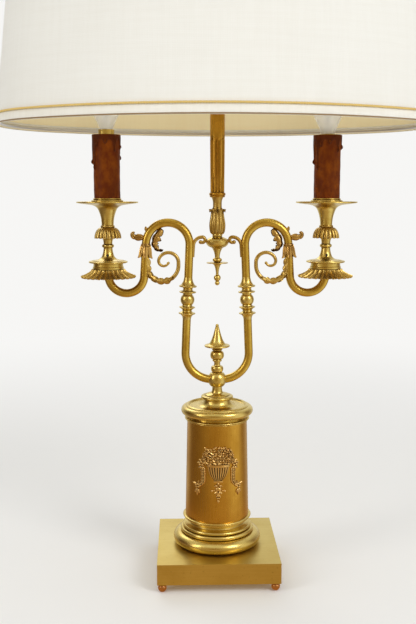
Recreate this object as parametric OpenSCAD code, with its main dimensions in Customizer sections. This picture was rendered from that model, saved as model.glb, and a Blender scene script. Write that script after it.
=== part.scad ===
// Bouillotte lamp: two candle arms on a brass column, under an oval shade that slides on a rod.
// Millimetres, +Z up, +X to the right arm, -Y to the front. The feet stand on z = 0.

/* [Feet and plinth] */
// Diameter of each ball foot
foot_d = 8.5; // [7:0.5:12]
// Diameter of the flat that each foot stands on
foot_flat_d = 2.4; // [1.5:0.1:4]
// Distance of each foot's centre from the plinth's edge
foot_inset = 5; // [4.5:0.5:10]
// Width of the square plinth
plinth_w = 120; // [100:1:160]
// Height of the plinth box
plinth_h = 20.5; // [18:0.5:30]
// Thickness of the plinth's sides and top
plinth_wall = 2.5; // [1.5:0.1:3]
// Width of the square boss in each corner of the plinth
boss_w = 11; // [9:0.5:15]
// Diameter of the stud on each foot
stud_d = 3; // [2:0.5:4]
// Length of the stud above the foot
stud_l = 8; // [5:0.5:12]
// Thickness of the underside plate
plate_t = 1.5; // [1:0.1:3]
// Height of the cast weight in the plinth
weight_h = 12; // [6:0.5:13]
// Diameter of the hole in the middle of the weight
weight_hole_d = 34; // [26:1:60]
// Diameter of the hole through the cord bushing
cord_hole_d = 8; // [6:0.5:9]
// Wall of the cord bushing
bushing_wall = 1.5; // [1:0.1:2]
// Width of the flange round the cord bushing
bushing_flange_w = 1.6; // [1:0.1:2.5]
// Thickness of that flange
bushing_flange_t = 1.5; // [1:0.1:2.5]
// Length of the bushing inside the plinth's wall
bushing_inner_l = 3; // [2:0.5:5]

/* [Column] */
// Widest diameter of the torus at the column's foot
torus_d = 88.4; // [80:0.4:96]
// Height of that torus
torus_h = 13; // [10:0.2:16]
// How far the torus swells beyond its seat
torus_swell = 7.2; // [4:0.2:8]
// Widest diameter of the small torus above it
small_torus_d = 74.2; // [70:0.2:76]
// Height of the small torus
small_torus_h = 4.6; // [4:0.2:7]
// Height of the lip between the small torus and the scotia
lip_h = 3; // [2:0.2:5]
// Narrowest diameter of the scotia
scotia_d = 56; // [50:0.4:58]
// Height of the scotia
scotia_h = 6.2; // [5:0.2:12]
// Height of each bead ring at the ends of the drum
bead_ring_h = 3.4; // [2.4:0.2:5]
// How far the bead rings stand out from the drum
bead_ring_out = 2.6; // [1.5:0.1:4]
// Diameter of the drum at the bottom
drum_d1 = 64; // [58:0.4:68]
// Diameter of the drum at the top
drum_d2 = 60; // [56:0.4:66]
// Height of the drum
drum_h = 97.6; // [70:0.2:130]
// Wall of the drum
drum_wall = 1.5; // [1:0.1:3]
// Diameter of the neck under the column's cap
cap_neck_d = 54.6; // [48:0.4:58]
// Height of that neck
cap_neck_h = 2.6; // [1.6:0.2:4]
// Widest diameter of the cap
cap_d = 72; // [64:0.4:80]
// Height of the cap's rounded rim
cap_rim_h = 10; // [7:0.2:12]
// Diameter of the dish in the cap
cap_dish_d = 56.8; // [50:0.4:60]
// Depth of the dish
cap_dish_deep = 1.4; // [0.6:0.1:2]
// Height of the cavetto that rises from the dish
cavetto_h = 7; // [4:0.2:9]
// Diameter at the top of the cavetto
cavetto_d = 26.6; // [22:0.4:30]
// Widest diameter of the neck disc
neck_disc_d = 32.3; // [29:0.4:38]
// Height of the neck disc
neck_disc_h = 5.6; // [4:0.2:8]
// Diameter of the tie rod
tie_rod_d = 7; // [5:0.5:8]
// Diameter of the wire way through the tie rod
tie_rod_bore_d = 4.4; // [3:0.2:4.6]
// Width of the tie rod's nut across its flats
nut_af = 13; // [11:0.5:15]
// Height of that nut
nut_h = 5; // [3:0.5:6]
// Diameter of the washer under the nut
washer_d = 22; // [18:1:25]
// Thickness of the washer
washer_t = 1.5; // [1:0.1:2.5]

/* [Basket relief] */
// Height of the urn's foot above the bottom of the drum
relief_rise = 43.5; // [35:0.5:60]
// Width of the urn at its rim
urn_w = 22.5; // [18:0.5:26]
// Height of the urn
urn_h = 16; // [12:0.5:18]
// How far the urn and its fruit stand out from the drum
urn_proud = 3; // [2:0.2:4]
// How far the garlands and the drop stand out from the drum
garland_proud = 2; // [1:0.2:3]
// Diameter of each fruit in the basket
fruit_d = 6; // [5:0.2:7]
// Height of the heap of fruit
heap_h = 17; // [14:0.5:20]
// Distance of each garland's top from the middle
garland_x = 15; // [13:0.5:17]
// How far each garland spreads outwards on its way down
garland_spread = 4; // [0:0.5:7]
// Length of each garland
garland_l = 29; // [22:1:34]
// Diameter of the garland's beads
garland_bead_d = 3.4; // [2.8:0.2:4]
// Length of the drop under the urn
drop_l = 20; // [15:0.5:24]

/* [Hub] */
// Height of the waisted neck under the hub ball
hub_neck_h = 7; // [5:0.2:10]
// Narrowest diameter of that neck
hub_neck_d = 9.8; // [9:0.2:12]
// Diameter of that neck at its foot
hub_neck_foot_d = 13.4; // [12:0.2:16]
// Diameter of the hub ball
hub_d = 18.6; // [17:0.2:22]
// Height of the hub ball between its flats
hub_h = 13.6; // [11:0.2:15]
// Diameter of the spigots that join the turned pieces
spigot_d = 4; // [3:0.5:5]
// Length of those spigots
spigot_l = 4; // [3:0.5:6]
// Diameter of the lower ball of the baluster
lower_ball_d = 12.4; // [11:0.2:15]
// Height of the lower ball
lower_ball_h = 5.6; // [4:0.2:8]
// Narrowest diameter of the baluster
baluster_neck_d = 6.2; // [5.4:0.2:8]
// Diameter of the ring between the balls
baluster_ring_d = 9.4; // [8.6:0.2:11]
// Diameter of the upper ball
upper_ball_d = 13.8; // [12:0.2:16]
// Height of the upper ball
upper_ball_h = 8; // [6:0.2:10]
// Height of the whole baluster
baluster_h = 26.2; // [23:0.2:30]
// Diameter of the hat-shaped finial's brim
hat_d = 25.3; // [20:0.1:30]
// Height of that finial
hat_h = 23; // [18:0.5:30]
// Diameter of the finial's tip
hat_tip_d = 3.3; // [2.4:0.1:4.5]

/* [Arms] */
// Diameter of the arm tubes
tube_d = 8.2; // [7.4:0.1:9]
// Wall of the arm tubes
tube_wall = 1.3; // [0.8:0.1:1.6]
// Diameter of the pair of wires inside the arms
wire_d = 4; // [2.4:0.2:4.2]
// Distance from the lamp's axis at which the lower bend begins
bend_start_x = 5; // [4.5:0.5:8]
// Radius of the lower bend
bend_r = 26.6; // [20:0.2:34]
// Inward lean of the legs, in degrees
leg_lean = 2.3; // [0:0.1:4]
// Length of the leg below the collars
lower_leg_l = 33; // [20:1:50]
// Length of the turned collar stack
collar_l = 42; // [36:0.5:50]
// Diameter of the collars' flanges
flange_d = 16.8; // [14:0.2:20]
// Diameter of the ball between the collars
collar_ball_d = 13.8; // [12:0.2:16]
// Length of the leg above the collars
upper_leg_l = 31.5; // [25:0.5:45]
// Radius of the arch
arch_r = 21.3; // [17:0.1:25]
// Outward lean of the outer leg, in degrees
outer_lean = 3.5; // [1:0.1:5]
// Length of the outer leg
outer_leg_l = 32.8; // [26:0.2:40]
// Distance of each candle from the lamp's axis
candle_x = 107; // [103:0.5:112]
// Diameter of the ring at the top of each husk
husk_ring_d = 10; // [9.6:0.1:12]
// Height of that ring
husk_ring_h = 2.4; // [1.6:0.1:4]
// Length of the husk's leaves
husk_l = 12; // [9:0.5:15]
// Width of the husk at its leaf tips
husk_d = 13.4; // [12:0.2:16]
// Number of leaves in each husk
husk_leaves = 5; // [4:1:7]
// Thickness of the cast leaves
leaf_t = 4; // [2.5:0.5:6]

/* [Scrolls] */
// Radius of the scroll's big lower turn
scroll_r1 = 15.4; // [14:0.1:17]
// Radius of the scroll's upper turn
scroll_r2 = 9.9; // [9:0.1:11]
// Radius of the scroll's inner turn
scroll_r3 = 5; // [4.4:0.1:5.6]
// Diameter of the scroll's rod at its root
scroll_d = 4.4; // [3.4:0.1:5.4]
// Diameter of the scroll's rod at its end
scroll_end_d = 3.2; // [2.4:0.1:3.4]
// Diameter of the knob at the scroll's end
scroll_knob_d = 4.2; // [4:0.1:5.2]
// Distance down the outer leg to the middle of the scroll's big turn
scroll_drop = 22; // [20:0.5:25]
// Distance from the outer leg's line to that middle
scroll_inset = 17.6; // [16.6:0.1:19]
// Diameter of the brackets' rod
bracket_d = 3.4; // [3:0.1:4.4]
// Radius of the brackets' outer turn
bracket_r1 = 8.4; // [7:0.1:9.4]
// Radius of the brackets' curl
bracket_r2 = 2.4; // [2:0.1:3.4]

/* [Candles] */
// Diameter of the threaded nipple through each candle's stack
nipple_d = 5; // [4:0.2:5.2]
// Wall of that nipple
nipple_wall = 0.9; // [0.6:0.1:1.2]
// Diameter of the leaf skirt at its top
skirt_top_d = 31.5; // [29:0.5:36]
// Diameter of the leaf skirt at its tips
skirt_d = 54; // [44:0.5:62]
// Height of the leaf skirt
skirt_h = 8; // [6:0.5:12]
// Thickness of the leaf skirt
skirt_t = 1.2; // [0.8:0.1:2]
// Number of leaves in the skirt
skirt_leaves = 24; // [16:1:32]
// Height of the candle cup's foot above the U bend's centre
cup_rise = 6.2; // [5:0.2:12]
// Diameter of the cup's collar
cup_collar_d = 30.5; // [26:0.5:32]
// Height of the cup's collar
cup_collar_h = 6.4; // [4:0.2:8]
// Diameter of the cup's plate
cup_plate_d = 38; // [34:0.5:44]
// Thickness of the cup's plate
cup_plate_t = 2.8; // [2:0.2:4]
// Height of the flare above the plate
cup_flare_h = 12; // [9:0.5:15]
// Narrowest diameter of the cup
cup_waist_d = 8.6; // [8:0.2:10]
// Diameter of the cup's ring
cup_ring_d = 11.9; // [10.6:0.1:14]
// Height of the cup's ring
cup_ring_h = 3.4; // [2.4:0.2:5]
// Height of the cup's neck above the ring
cup_neck_h = 5.6; // [4:0.2:8]
// Diameter of the gadroon bell at its mouth
bell_d = 26.4; // [22:0.2:30]
// Height of the gadroon bell
bell_h = 10.8; // [8:0.2:14]
// Number of gadroons round the bell
gadroons = 18; // [12:1:24]
// Height of the ring on top of the bell
bell_ring_h = 2; // [1.4:0.1:3]
// Diameter of the vase at its foot
vase_d = 12.2; // [11:0.2:14]
// Height of the vase under the drip pan
vase_h = 20.4; // [16:0.4:26]
// Diameter of the drip pan
pan_d = 60; // [50:0.5:64]
// Height of the drip pan's rim above its middle
pan_rim_h = 2; // [1.2:0.1:3]
// Thickness of the drip pan
pan_t = 1.2; // [0.9:0.1:2]
// Diameter of the ring round the sleeve's foot
sleeve_ring_d = 27.4; // [26.8:0.1:30]
// Height of that ring
sleeve_ring_h = 4.4; // [2:0.2:5]
// Diameter of the candle sleeves
sleeve_d = 25.4; // [24.4:0.1:26.4]
// Wall of the candle sleeves
sleeve_wall = 1.1; // [0.8:0.1:1.5]
// Height of the candle sleeves
sleeve_h = 64.5; // [45:0.5:80]
// Diameter of the lampholders
holder_d = 21; // [18:0.2:22]
// How far the lampholder's top lies below the sleeve's
holder_recess = 4; // [3:0.5:6]

/* [Bulbs] */
// Diameter of the bulb cap's thread
cap_thread_d = 13.86; // [13:0.02:14.5]
// Length of the bulb cap's thread
cap_thread_l = 20; // [16:0.5:22]
// Diameter of the bulb cap's skirt
cap_skirt_d = 15.4; // [15:0.1:18]
// Height of the bulb cap's skirt
cap_skirt_h = 5; // [4:0.2:7]
// Widest diameter of the bulb's glass
bulb_d = 35; // [30:0.5:38]
// Height of the bulb's glass
bulb_h = 76; // [66:1:90]
// Thickness of the bulb's glass
glass_t = 0.8; // [0.5:0.1:1.2]
// How much further the left bulb is unscrewed than the right one
left_bulb_lift = 4; // [0:0.5:6]
// Height of the filament's glass mount
mount_h = 24; // [16:1:30]

/* [Centre stem] */
// Height of the bowl's widest line above the arches' centres
bowl_rise = 3.6; // [2:0.2:5]
// Diameter of the bowl
bowl_d = 23.2; // [20:0.2:25]
// Diameter of the neck ring over the bowl
bowl_ring_d = 10; // [9:0.2:12]
// Height from the bowl's widest line to its top
bowl_top_h = 7.2; // [5:0.2:9]
// Height from the bowl's widest line down to its foot
bowl_low_h = 15.6; // [12:0.2:19]
// Diameter of the bowl's foot
bowl_foot_d = 4.8; // [4.4:0.1:6]
// Diameter of the pendant's thin disc
pendant_disc_d = 21.4; // [17:0.2:25]
// Length of the pendant
pendant_l = 28.4; // [24:0.4:33]
// Diameter of the pendant's ball
pendant_ball_d = 6.9; // [6:0.1:8]
// Diameter of the pendant's last small ball
pendant_tip_d = 4.8; // [4:0.1:5.6]
// Widest diameter of the leaf baluster
leaf_baluster_d = 14.6; // [13:0.2:17]
// Height of its leafy part
leaf_baluster_h = 25; // [20:0.5:30]
// Diameter of the neck above the leaves
stem_neck_d = 8.8; // [8:0.2:10]
// Height of that neck
stem_neck_h = 10.1; // [7:0.2:14]
// Diameter of the ring under the fluted stem
stem_ring_d = 16; // [15.2:0.2:19]
// Height of that ring
stem_ring_h = 4.4; // [3:0.2:6]
// Diameter of the fluted stem at the bottom
stem_d1 = 13.5; // [12.6:0.1:15]
// Diameter of the fluted stem at the top
stem_d2 = 14.3; // [12.6:0.1:15]
// Length of the flutes
flute_l = 52; // [35:1:70]
// Number of flutes
flutes = 12; // [8:1:14]
// Diameter of each flute
flute_d = 2.4; // [1.6:0.1:2.8]
// Length of the plain stem above the flutes
plain_stem_l = 36; // [20:1:60]
// Diameter of the shade rod
rod_d = 8; // [6:0.5:9]
// Depth of the shade rod's socket in the stem
rod_socket = 25; // [15:1:32]

/* [Shade] */
// Length of the oval shade at its lower rim
shade_l = 420; // [380:2:440]
// Width of the oval shade at its lower rim
shade_w = 280; // [272:2:320]
// Height of the shade
shade_h = 250; // [220:2:280]
// How much each side of the shade slopes in from bottom to top
shade_slope = 27; // [10:1:30]
// Thickness of the shade's skin
shade_t = 1.2; // [0.8:0.1:2]
// Height of the shade's lower rim above the sleeves' tops
shade_gap = 8; // [4:0.5:20]
// Height of the binding tapes
tape_h = 8.6; // [6:0.2:12]
// Thickness of the binding tapes
tape_t = 0.5; // [0.3:0.1:1]
// Diameter of the gold braid
braid_d = 2.2; // [1.6:0.1:3]
// Diameter of the frame's wire
wire_frame_d = 3; // [2:0.2:4]
// How far the frame's hub lies below the shade's top
hub_recess = 16; // [10:1:25]
// Diameter of the frame's hub
frame_hub_d = 24; // [20:0.5:30]
// Thickness of the frame's hub
frame_hub_t = 3; // [2.6:0.2:5]
// Wall of the slide sleeve
slide_wall = 2; // [1.5:0.1:3]
// Length of the slide sleeve below the frame's hub
slide_l = 40; // [30:1:60]
// Diameter of the flange that carries the shade
seat_d = 22; // [18:0.5:28]
// Thickness of that flange
seat_t = 3; // [2:0.5:5]
// Height of the ring nut
ring_nut_h = 5; // [3:0.5:8]
// Diameter of the ring nut
ring_nut_d = 20; // [17:0.5:26]
// How far the shade can slide up
slide_up = 15; // [10:1:30]
// Diameter of the thumb screw's thread
thumb_thread_d = 4; // [3:0.5:5]
// Diameter of the thumb screw's head
thumb_head_d = 13; // [10:0.5:18]
// Thickness of the thumb screw's head
thumb_head_t = 4; // [3:0.5:6]
// Length of the thumb screw between its boss and its head
thumb_reach = 4; // [2:0.5:8]
// Diameter of the rod's finial
finial_d = 18; // [14:0.5:24]
// Height of the rod's finial
finial_h = 30; // [24:0.5:40]

/* [Fits] */
// Radial clearance of pieces that turn or slide on each other
running_fit = 0.07; // [0.02:0.01:0.1]
// Radial clearance round studs, spigots and rods that stay fixed
slip_fit = 0.1; // [0.05:0.05:0.2]
// Space that moving faces keep from each other
face_gap = 0.3; // [0.2:0.05:0.5]

/* [Hidden] */
$fn = 64;

// Steps in each curve of a turned outline
curve_steps = 8;
// Colours of the finishes
brass = [0.72, 0.58, 0.25];
drum_brass = [0.58, 0.38, 0.12];
iron = [0.25, 0.25, 0.26];
steel = [0.6, 0.6, 0.62];
wax = [0.36, 0.17, 0.05];
linen = [0.94, 0.92, 0.87];
overlap = 1; // extra length of a cutting tool beyond the face that it cuts
joint_bead = 0.05; // how far the ball that joins two lengths of rod stands out

// Heights of the base and the column
foot_r = foot_d / 2;
foot_h = 2 * sqrt(pow(foot_r, 2) - pow(foot_flat_d / 2, 2));
plinth_top = foot_h + plinth_h;
foot_xy = plinth_w / 2 - foot_inset;
column_foot_h = torus_h + small_torus_h + lip_h + scotia_h;
lower_ring_z = plinth_top + column_foot_h;
drum_z = lower_ring_z + bead_ring_h;
upper_ring_z = drum_z + drum_h;
cap_z = upper_ring_z + bead_ring_h;
cap_rim_top = cap_neck_h + cap_rim_h;
cap_h = cap_rim_top - cap_dish_deep + cavetto_h;
neck_disc_z = cap_z + cap_h;
hub_neck_z = neck_disc_z + neck_disc_h;
hub_z = hub_neck_z + hub_neck_h + hub_h / 2;
baluster_z = hub_z + hub_h / 2;
hat_z = baluster_z + baluster_h;
tie_rod_r = tie_rod_d / 2;
tie_hole_r = tie_rod_r + slip_fit;
bushing_r = cord_hole_d / 2 + bushing_wall;
spigot_r = spigot_d / 2;

// The arm's centreline, in the X-Z plane of the right arm
tube_r = tube_d / 2;
tube_bore_r = tube_r - tube_wall;
bend_c = [bend_start_x, hub_z + bend_r];
leg_start = bend_c + bend_r * [cos(leg_lean), sin(leg_lean)];
leg_dir = [-sin(leg_lean), cos(leg_lean)];
collar_start = leg_start + lower_leg_l * leg_dir;
collar_end = collar_start + collar_l * leg_dir;
arch_start = collar_end + upper_leg_l * leg_dir;
arch_c = arch_start + arch_r * [cos(leg_lean), sin(leg_lean)];
outer_start = arch_c + arch_r * [cos(outer_lean), sin(outer_lean)];
outer_dir = [sin(outer_lean), -cos(outer_lean)];
outer_end = outer_start + outer_leg_l * outer_dir;
u_bend_r = (candle_x - outer_end[0]) / (1 + cos(outer_lean));
u_bend_c = outer_end + u_bend_r * [cos(outer_lean), sin(outer_lean)];

// The scroll's centreline
scroll_c1 = outer_start + scroll_drop * outer_dir - scroll_inset * [1, 0];
scroll_gap = 2.8; // straight stretch between the scroll's big turn and its upper one
scroll_c2 = scroll_c1 + [scroll_r2 - scroll_r1, scroll_gap];
scroll_root_a = -25; // angle at which the big turn leaves the straight root
scroll_root_l = 9; // length of that root, up to inside the leg
scroll_turn_a = 20; // angle at which the upper turn passes into the inner one
scroll_c3 = scroll_c2 + (scroll_r2 - scroll_r3) * [cos(scroll_turn_a), sin(scroll_turn_a)];
scroll_end_a = -155; // angle at which the inner turn ends

// The candle's stack
cup_z = u_bend_c[1] + cup_rise;
cup_plate_z = cup_z + cup_collar_h;
cup_waist_z = cup_plate_z + cup_plate_t + cup_flare_h;
cup_h = cup_collar_h + cup_plate_t + cup_flare_h + cup_ring_h + cup_neck_h;
bell_z = cup_z + cup_h;
vase_z = bell_z + bell_h + bell_ring_h;
pan_z = vase_z + vase_h;
sleeve_z = pan_z + pan_t;
sleeve_top = sleeve_z + sleeve_h;
holder_top = sleeve_top - holder_recess;
nipple_r = nipple_d / 2;
nipple_hole_r = nipple_r + slip_fit;
nipple_grip = 6; // how far the nipple reaches into the tube and the lampholder
holder_foot_t = 2; // floor under the lampholder's socket
cap_thread_r = cap_thread_d / 2;
bulb_z = holder_top + face_gap + cap_skirt_h;

// The centre stem
bowl_z = arch_c[1] + bowl_rise;
bowl_top_z = bowl_z + bowl_top_h;
leaf_z = bowl_top_z;
stem_z = leaf_z + leaf_baluster_h + stem_neck_h;
stem_h = stem_ring_h + flute_l + plain_stem_l;
stem_top = stem_z + stem_h;
rod_r = rod_d / 2;

// The shade
oval_unit = (shade_l - shade_w) / 4;
shade_z = sleeve_top + shade_gap;
shade_top = shade_z + shade_h;
frame_hub_z = shade_top - hub_recess;
slide_r = rod_r + running_fit + slide_wall;
slide_z = frame_hub_z - face_gap - slide_l;
slide_top = frame_hub_z + frame_hub_t + face_gap + ring_nut_h;
rod_shoulder = slide_top + slide_up + face_gap;
finial_stud_r = rod_r - 1;
finial_stud_l = 12;
thumb_z = slide_z + slide_l / 3;
thumb_boss_l = 4; // how far the thumb screw's boss stands out from the slide sleeve
thumb_r = thumb_thread_d / 2;

// ---- outlines ----

// A convex half-round swell from [r, z0] to [r, z1]
function swell(r, z0, z1, out) = [for (i = [0:curve_steps])
    let (a = 180 * i / curve_steps - 90)
    [r + out * cos(a), (z0 + z1) / 2 + (z1 - z0) / 2 * sin(a)]];

// A quarter curve that leaves p upright and reaches q level
function upright_to_level(p, q) = [for (i = [0:curve_steps])
    let (a = 90 * i / curve_steps)
    [q[0] + (p[0] - q[0]) * cos(a), p[1] + (q[1] - p[1]) * sin(a)]];

// A quarter curve that leaves p level and reaches q upright
function level_to_upright(p, q) = [for (i = [0:curve_steps])
    let (a = 90 * i / curve_steps)
    [p[0] + (q[0] - p[0]) * sin(a), q[1] + (p[1] - q[1]) * cos(a)]];

// An arc of points round c
function arc(c, r, a0, a1) = [for (i = [0:curve_steps])
    let (a = a0 + (a1 - a0) * i / curve_steps) [c[0] + r * cos(a), c[1] + r * sin(a)]];

// The cut of a ball of radius r at height h from its middle
function cut_r(r, h) = sqrt(pow(r, 2) - pow(h, 2));

// A turned solid from an outline of [radius, height] points, bottom first
module turned(outline) {
    rotate_extrude()
        polygon(concat([[0, outline[0][1]]], outline, [[0, outline[len(outline) - 1][1]]]));
}

// A ball between two flats, standing on its lower one
module flat_ball(d, h) {
    translate([0, 0, h / 2]) intersection() {
        sphere(r = d / 2);
        cube([d, d, h], center = true);
    }
}

// A straight hole up the middle, from below z0 to above z1
module bore(r, z0, z1) {
    translate([0, 0, z0 - overlap]) cylinder(r = r, h = z1 - z0 + 2 * overlap);
}

// Draws its children on the right, or mirrored on the left
module on_side(side) {
    if (side == "left") mirror([1, 0, 0]) children();
    else children();
}

// ---- rods in the X-Z plane ----

module arc_rod(c, turn_r, a0, a1, r) {
    translate([c[0], 0, c[1]]) rotate([90, 0, 0]) rotate([0, 0, min(a0, a1)])
        rotate_extrude(angle = abs(a1 - a0)) translate([turn_r, 0]) circle(r = r);
}

module straight_rod(p, q, r) {
    along(p, q - p) cylinder(r = r, h = norm(q - p));
}

// Places its children with their +Z along dir, at p in the X-Z plane
module along(p, dir) {
    translate([p[0], 0, p[1]]) rotate([0, atan2(dir[0], dir[1]), 0]) children();
}

module knob(p, r) { translate([p[0], 0, p[1]]) sphere(r = r); }

// The balls that make one solid of the lengths of rod that meet at these points
module rod_joints(points, r) {
    for (p = points) knob(p, r + joint_bead);
}

// ---- base ----

module at_feet() {
    for (x = [-1, 1], y = [-1, 1]) translate([x * foot_xy, y * foot_xy, 0]) children();
}

module plinth() color(brass) difference() {
    translate([-plinth_w / 2, -plinth_w / 2, foot_h]) cube([plinth_w, plinth_w, plinth_h]);
    plinth_hollow();
    bore(tie_hole_r, plinth_top - plinth_wall, plinth_top);
    at_feet() bore(stud_d / 2 + slip_fit, foot_h, foot_h + stud_l);
    at_cord_inlet() bore(bushing_r + slip_fit, 0, plinth_wall);
}

// The space inside the plinth, with a square boss left in each corner above the plate
module plinth_hollow() {
    inner_w = plinth_w - 2 * plinth_wall;
    difference() {
        translate([-inner_w / 2, -inner_w / 2, foot_h - overlap])
            cube([inner_w, inner_w, plinth_h - plinth_wall + overlap]);
        for (x = [-1, 1], y = [-1, 1])
            translate([x * (plinth_w - boss_w) / 2, y * (plinth_w - boss_w) / 2,
                foot_h + plate_t + plinth_h / 2])
                cube([boss_w, boss_w, plinth_h], center = true);
    }
}

// The cord inlet's frame: origin on the back wall's inner face, +Z out of the back
module at_cord_inlet() {
    translate([0, plinth_w / 2 - plinth_wall, foot_h + plinth_h / 2]) rotate([-90, 0, 0])
        children();
}

module ball_feet() color(brass) at_feet() {
    flat_ball(foot_d, foot_h);
    translate([0, 0, foot_h - overlap]) cylinder(r = stud_d / 2, h = stud_l + overlap);
}

module underside_plate() color(steel) difference() {
    plate_w = plinth_w - 2 * (plinth_wall + slip_fit);
    translate([-plate_w / 2, -plate_w / 2, foot_h]) cube([plate_w, plate_w, plate_t]);
    at_feet() bore(stud_d / 2 + slip_fit, foot_h, foot_h + plate_t);
}

module base_weight() color(iron) difference() {
    weight_gap = 1; // space round the weight
    weight_w = plinth_w - 2 * (plinth_wall + weight_gap);
    corner = plinth_w / 2 - boss_w - weight_gap;
    slot_w = 2 * (bushing_r + weight_gap);
    z0 = foot_h + plate_t;
    translate([-weight_w / 2, -weight_w / 2, z0]) cube([weight_w, weight_w, weight_h]);
    for (x = [-1, 1], y = [-1, 1])
        translate([x * (corner + boss_w), y * (corner + boss_w), z0 + weight_h / 2])
            cube([2 * boss_w, 2 * boss_w, weight_h + 2 * overlap], center = true);
    bore(weight_hole_d / 2, z0, z0 + weight_h);
    translate([-slot_w / 2, 0, z0 - overlap]) cube([slot_w, plinth_w, weight_h + 2 * overlap]);
}

module cord_bushing() color(iron) at_cord_inlet() difference() {
    union() {
        translate([0, 0, -bushing_inner_l])
            cylinder(r = bushing_r, h = bushing_inner_l + plinth_wall + bushing_flange_t);
        translate([0, 0, plinth_wall])
            cylinder(r = bushing_r + bushing_flange_w, h = bushing_flange_t);
    }
    bore(cord_hole_d / 2, -bushing_inner_l, plinth_wall + bushing_flange_t);
}

// ---- column ----

module column_foot() color(brass) {
    seat_r = torus_d / 2 - torus_swell;
    small_swell = 1.6;
    small_r = small_torus_d / 2 - small_swell;
    lip_swell = 1.2;
    lip_r = drum_d1 / 2 + bead_ring_out - lip_swell;
    step = 0.8; // width of the small steps between mouldings
    lip_z = torus_h + small_torus_h;
    scotia_z = lip_z + lip_h;
    waist_z = scotia_z + scotia_h / 3;
    hollow_r = scotia_d / 2 - 3;
    translate([0, 0, plinth_top]) difference() {
        turned(concat(
            swell(seat_r, 0, torus_h, torus_swell),
            swell(small_r, torus_h, lip_z, small_swell),
            swell(lip_r, lip_z, scotia_z, lip_swell),
            level_to_upright([lip_r - step, scotia_z], [scotia_d / 2, waist_z]),
            upright_to_level([scotia_d / 2, waist_z], [drum_d1 / 2 - step, column_foot_h - step]),
            [[drum_d1 / 2, column_foot_h - step], [drum_d1 / 2, column_foot_h]]));
        bore(hollow_r, 0, column_foot_h - drum_wall - 2 * overlap);
        bore(tie_hole_r, 0, column_foot_h);
    }
}

// A half-round ring that the drum stands in or carries
module drum_ring(z, r) {
    flat = 0.4; // width of the ring's level faces beyond the drum
    translate([0, 0, z]) difference() {
        turned(swell(r + flat, 0, bead_ring_h, bead_ring_out - flat));
        bore(r - 3 * drum_wall, 0, bead_ring_h);
    }
}

module drum_rings() color(brass) {
    drum_ring(lower_ring_z, drum_d1 / 2);
    drum_ring(upper_ring_z, drum_d2 / 2);
}

module drum_cone(inset) {
    cylinder(r1 = drum_d1 / 2 - inset, r2 = drum_d2 / 2 - inset, h = drum_h);
}

module column_drum() color(drum_brass) translate([0, 0, drum_z]) difference() {
    drum_cone(0);
    drum_cone(drum_wall);
}

module column_cap() color(brass) {
    under_r = (cap_neck_d + cap_d) / 4;
    rim_swell = cap_d / 2 - under_r;
    lip_r = (cap_dish_d / 2 + under_r) / 2;
    dish_r = cap_dish_d / 2;
    floor_z = cap_rim_top - cap_dish_deep;
    cove_r = cavetto_d / 2 + cavetto_h;
    hollow_r = cap_neck_d / 2 - 3;
    translate([0, 0, cap_z]) difference() {
        turned(concat(
            [[cap_neck_d / 2, 0], [cap_neck_d / 2, cap_neck_h - overlap / 2]],
            swell(under_r, cap_neck_h, cap_rim_top - overlap, rim_swell),
            [[lip_r, cap_rim_top], [dish_r, cap_rim_top], [dish_r - overlap, floor_z]],
            level_to_upright([cove_r, floor_z], [cavetto_d / 2, cap_h])));
        bore(hollow_r, 0, cap_neck_h + cap_rim_h / 3);
        bore(tie_hole_r, 0, cap_h);
    }
}

module neck_disc() color(brass) {
    rim_h = neck_disc_h * 0.55;
    rim_swell = 1.4;
    step_r = neck_disc_d / 2 - 3.2;
    translate([0, 0, neck_disc_z]) difference() {
        turned(concat(
            swell(neck_disc_d / 2 - rim_swell, 0, rim_h, rim_swell),
            level_to_upright([step_r, rim_h], [step_r - 1, rim_h + 1]),
            [[hub_neck_foot_d / 2 + 1, neck_disc_h], [hub_neck_foot_d / 2, neck_disc_h]]));
        bore(tie_hole_r, 0, neck_disc_h);
    }
}

module tie_rod() color(steel) {
    z0 = plinth_top - plinth_wall - washer_t - nut_h - 2 * overlap;
    z1 = hub_z - hub_h / 2 + overlap;
    translate([0, 0, z0]) difference() {
        cylinder(r = tie_rod_r, h = z1 - z0);
        bore(tie_rod_bore_d / 2, 0, z1 - z0);
    }
}

module tie_rod_nut() color(steel) {
    washer_z = plinth_top - plinth_wall - washer_t;
    difference() {
        translate([0, 0, washer_z]) cylinder(r = washer_d / 2, h = washer_t);
        bore(tie_hole_r, washer_z, washer_z + washer_t);
    }
    difference() {
        translate([0, 0, washer_z - nut_h]) cylinder(d = nut_af / cos(30), h = nut_h, $fn = 6);
        bore(tie_hole_r, washer_z - nut_h, washer_z);
    }
}

// ---- basket relief ----

// Raises a flat pattern, drawn as [across, height], from the front of the drum
module raised(proud) {
    difference() {
        intersection() {
            rotate([90, 0, 0]) linear_extrude(drum_d1) children();
            drum_cone(-proud);
        }
        drum_cone(0);
    }
}

module dot(x, z, d) { translate([x, z]) circle(r = d / 2); }

module urn_and_fruit() {
    rows = [6, 6, 5];
    row_h = (heap_h - fruit_d) / (len(rows) - 1);
    fruit_z = relief_rise + urn_h + fruit_d * 0.4;
    // half widths up the urn, as [share of its width, share of its height]
    sides = [[0.2, 0], [0.36, 0.3], [0.46, 0.65], [0.5, 1]];
    polygon([
        for (p = sides) [urn_w * p[0], relief_rise + urn_h * p[1]],
        for (i = [1:len(sides)]) let (p = sides[len(sides) - i])
            [-urn_w * p[0], relief_rise + urn_h * p[1]]]);
    for (i = [0:len(rows) - 1], k = [0:rows[i] - 1])
        dot((k - (rows[i] - 1) / 2) * fruit_d * 0.86, fruit_z + i * row_h, fruit_d);
}

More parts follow.
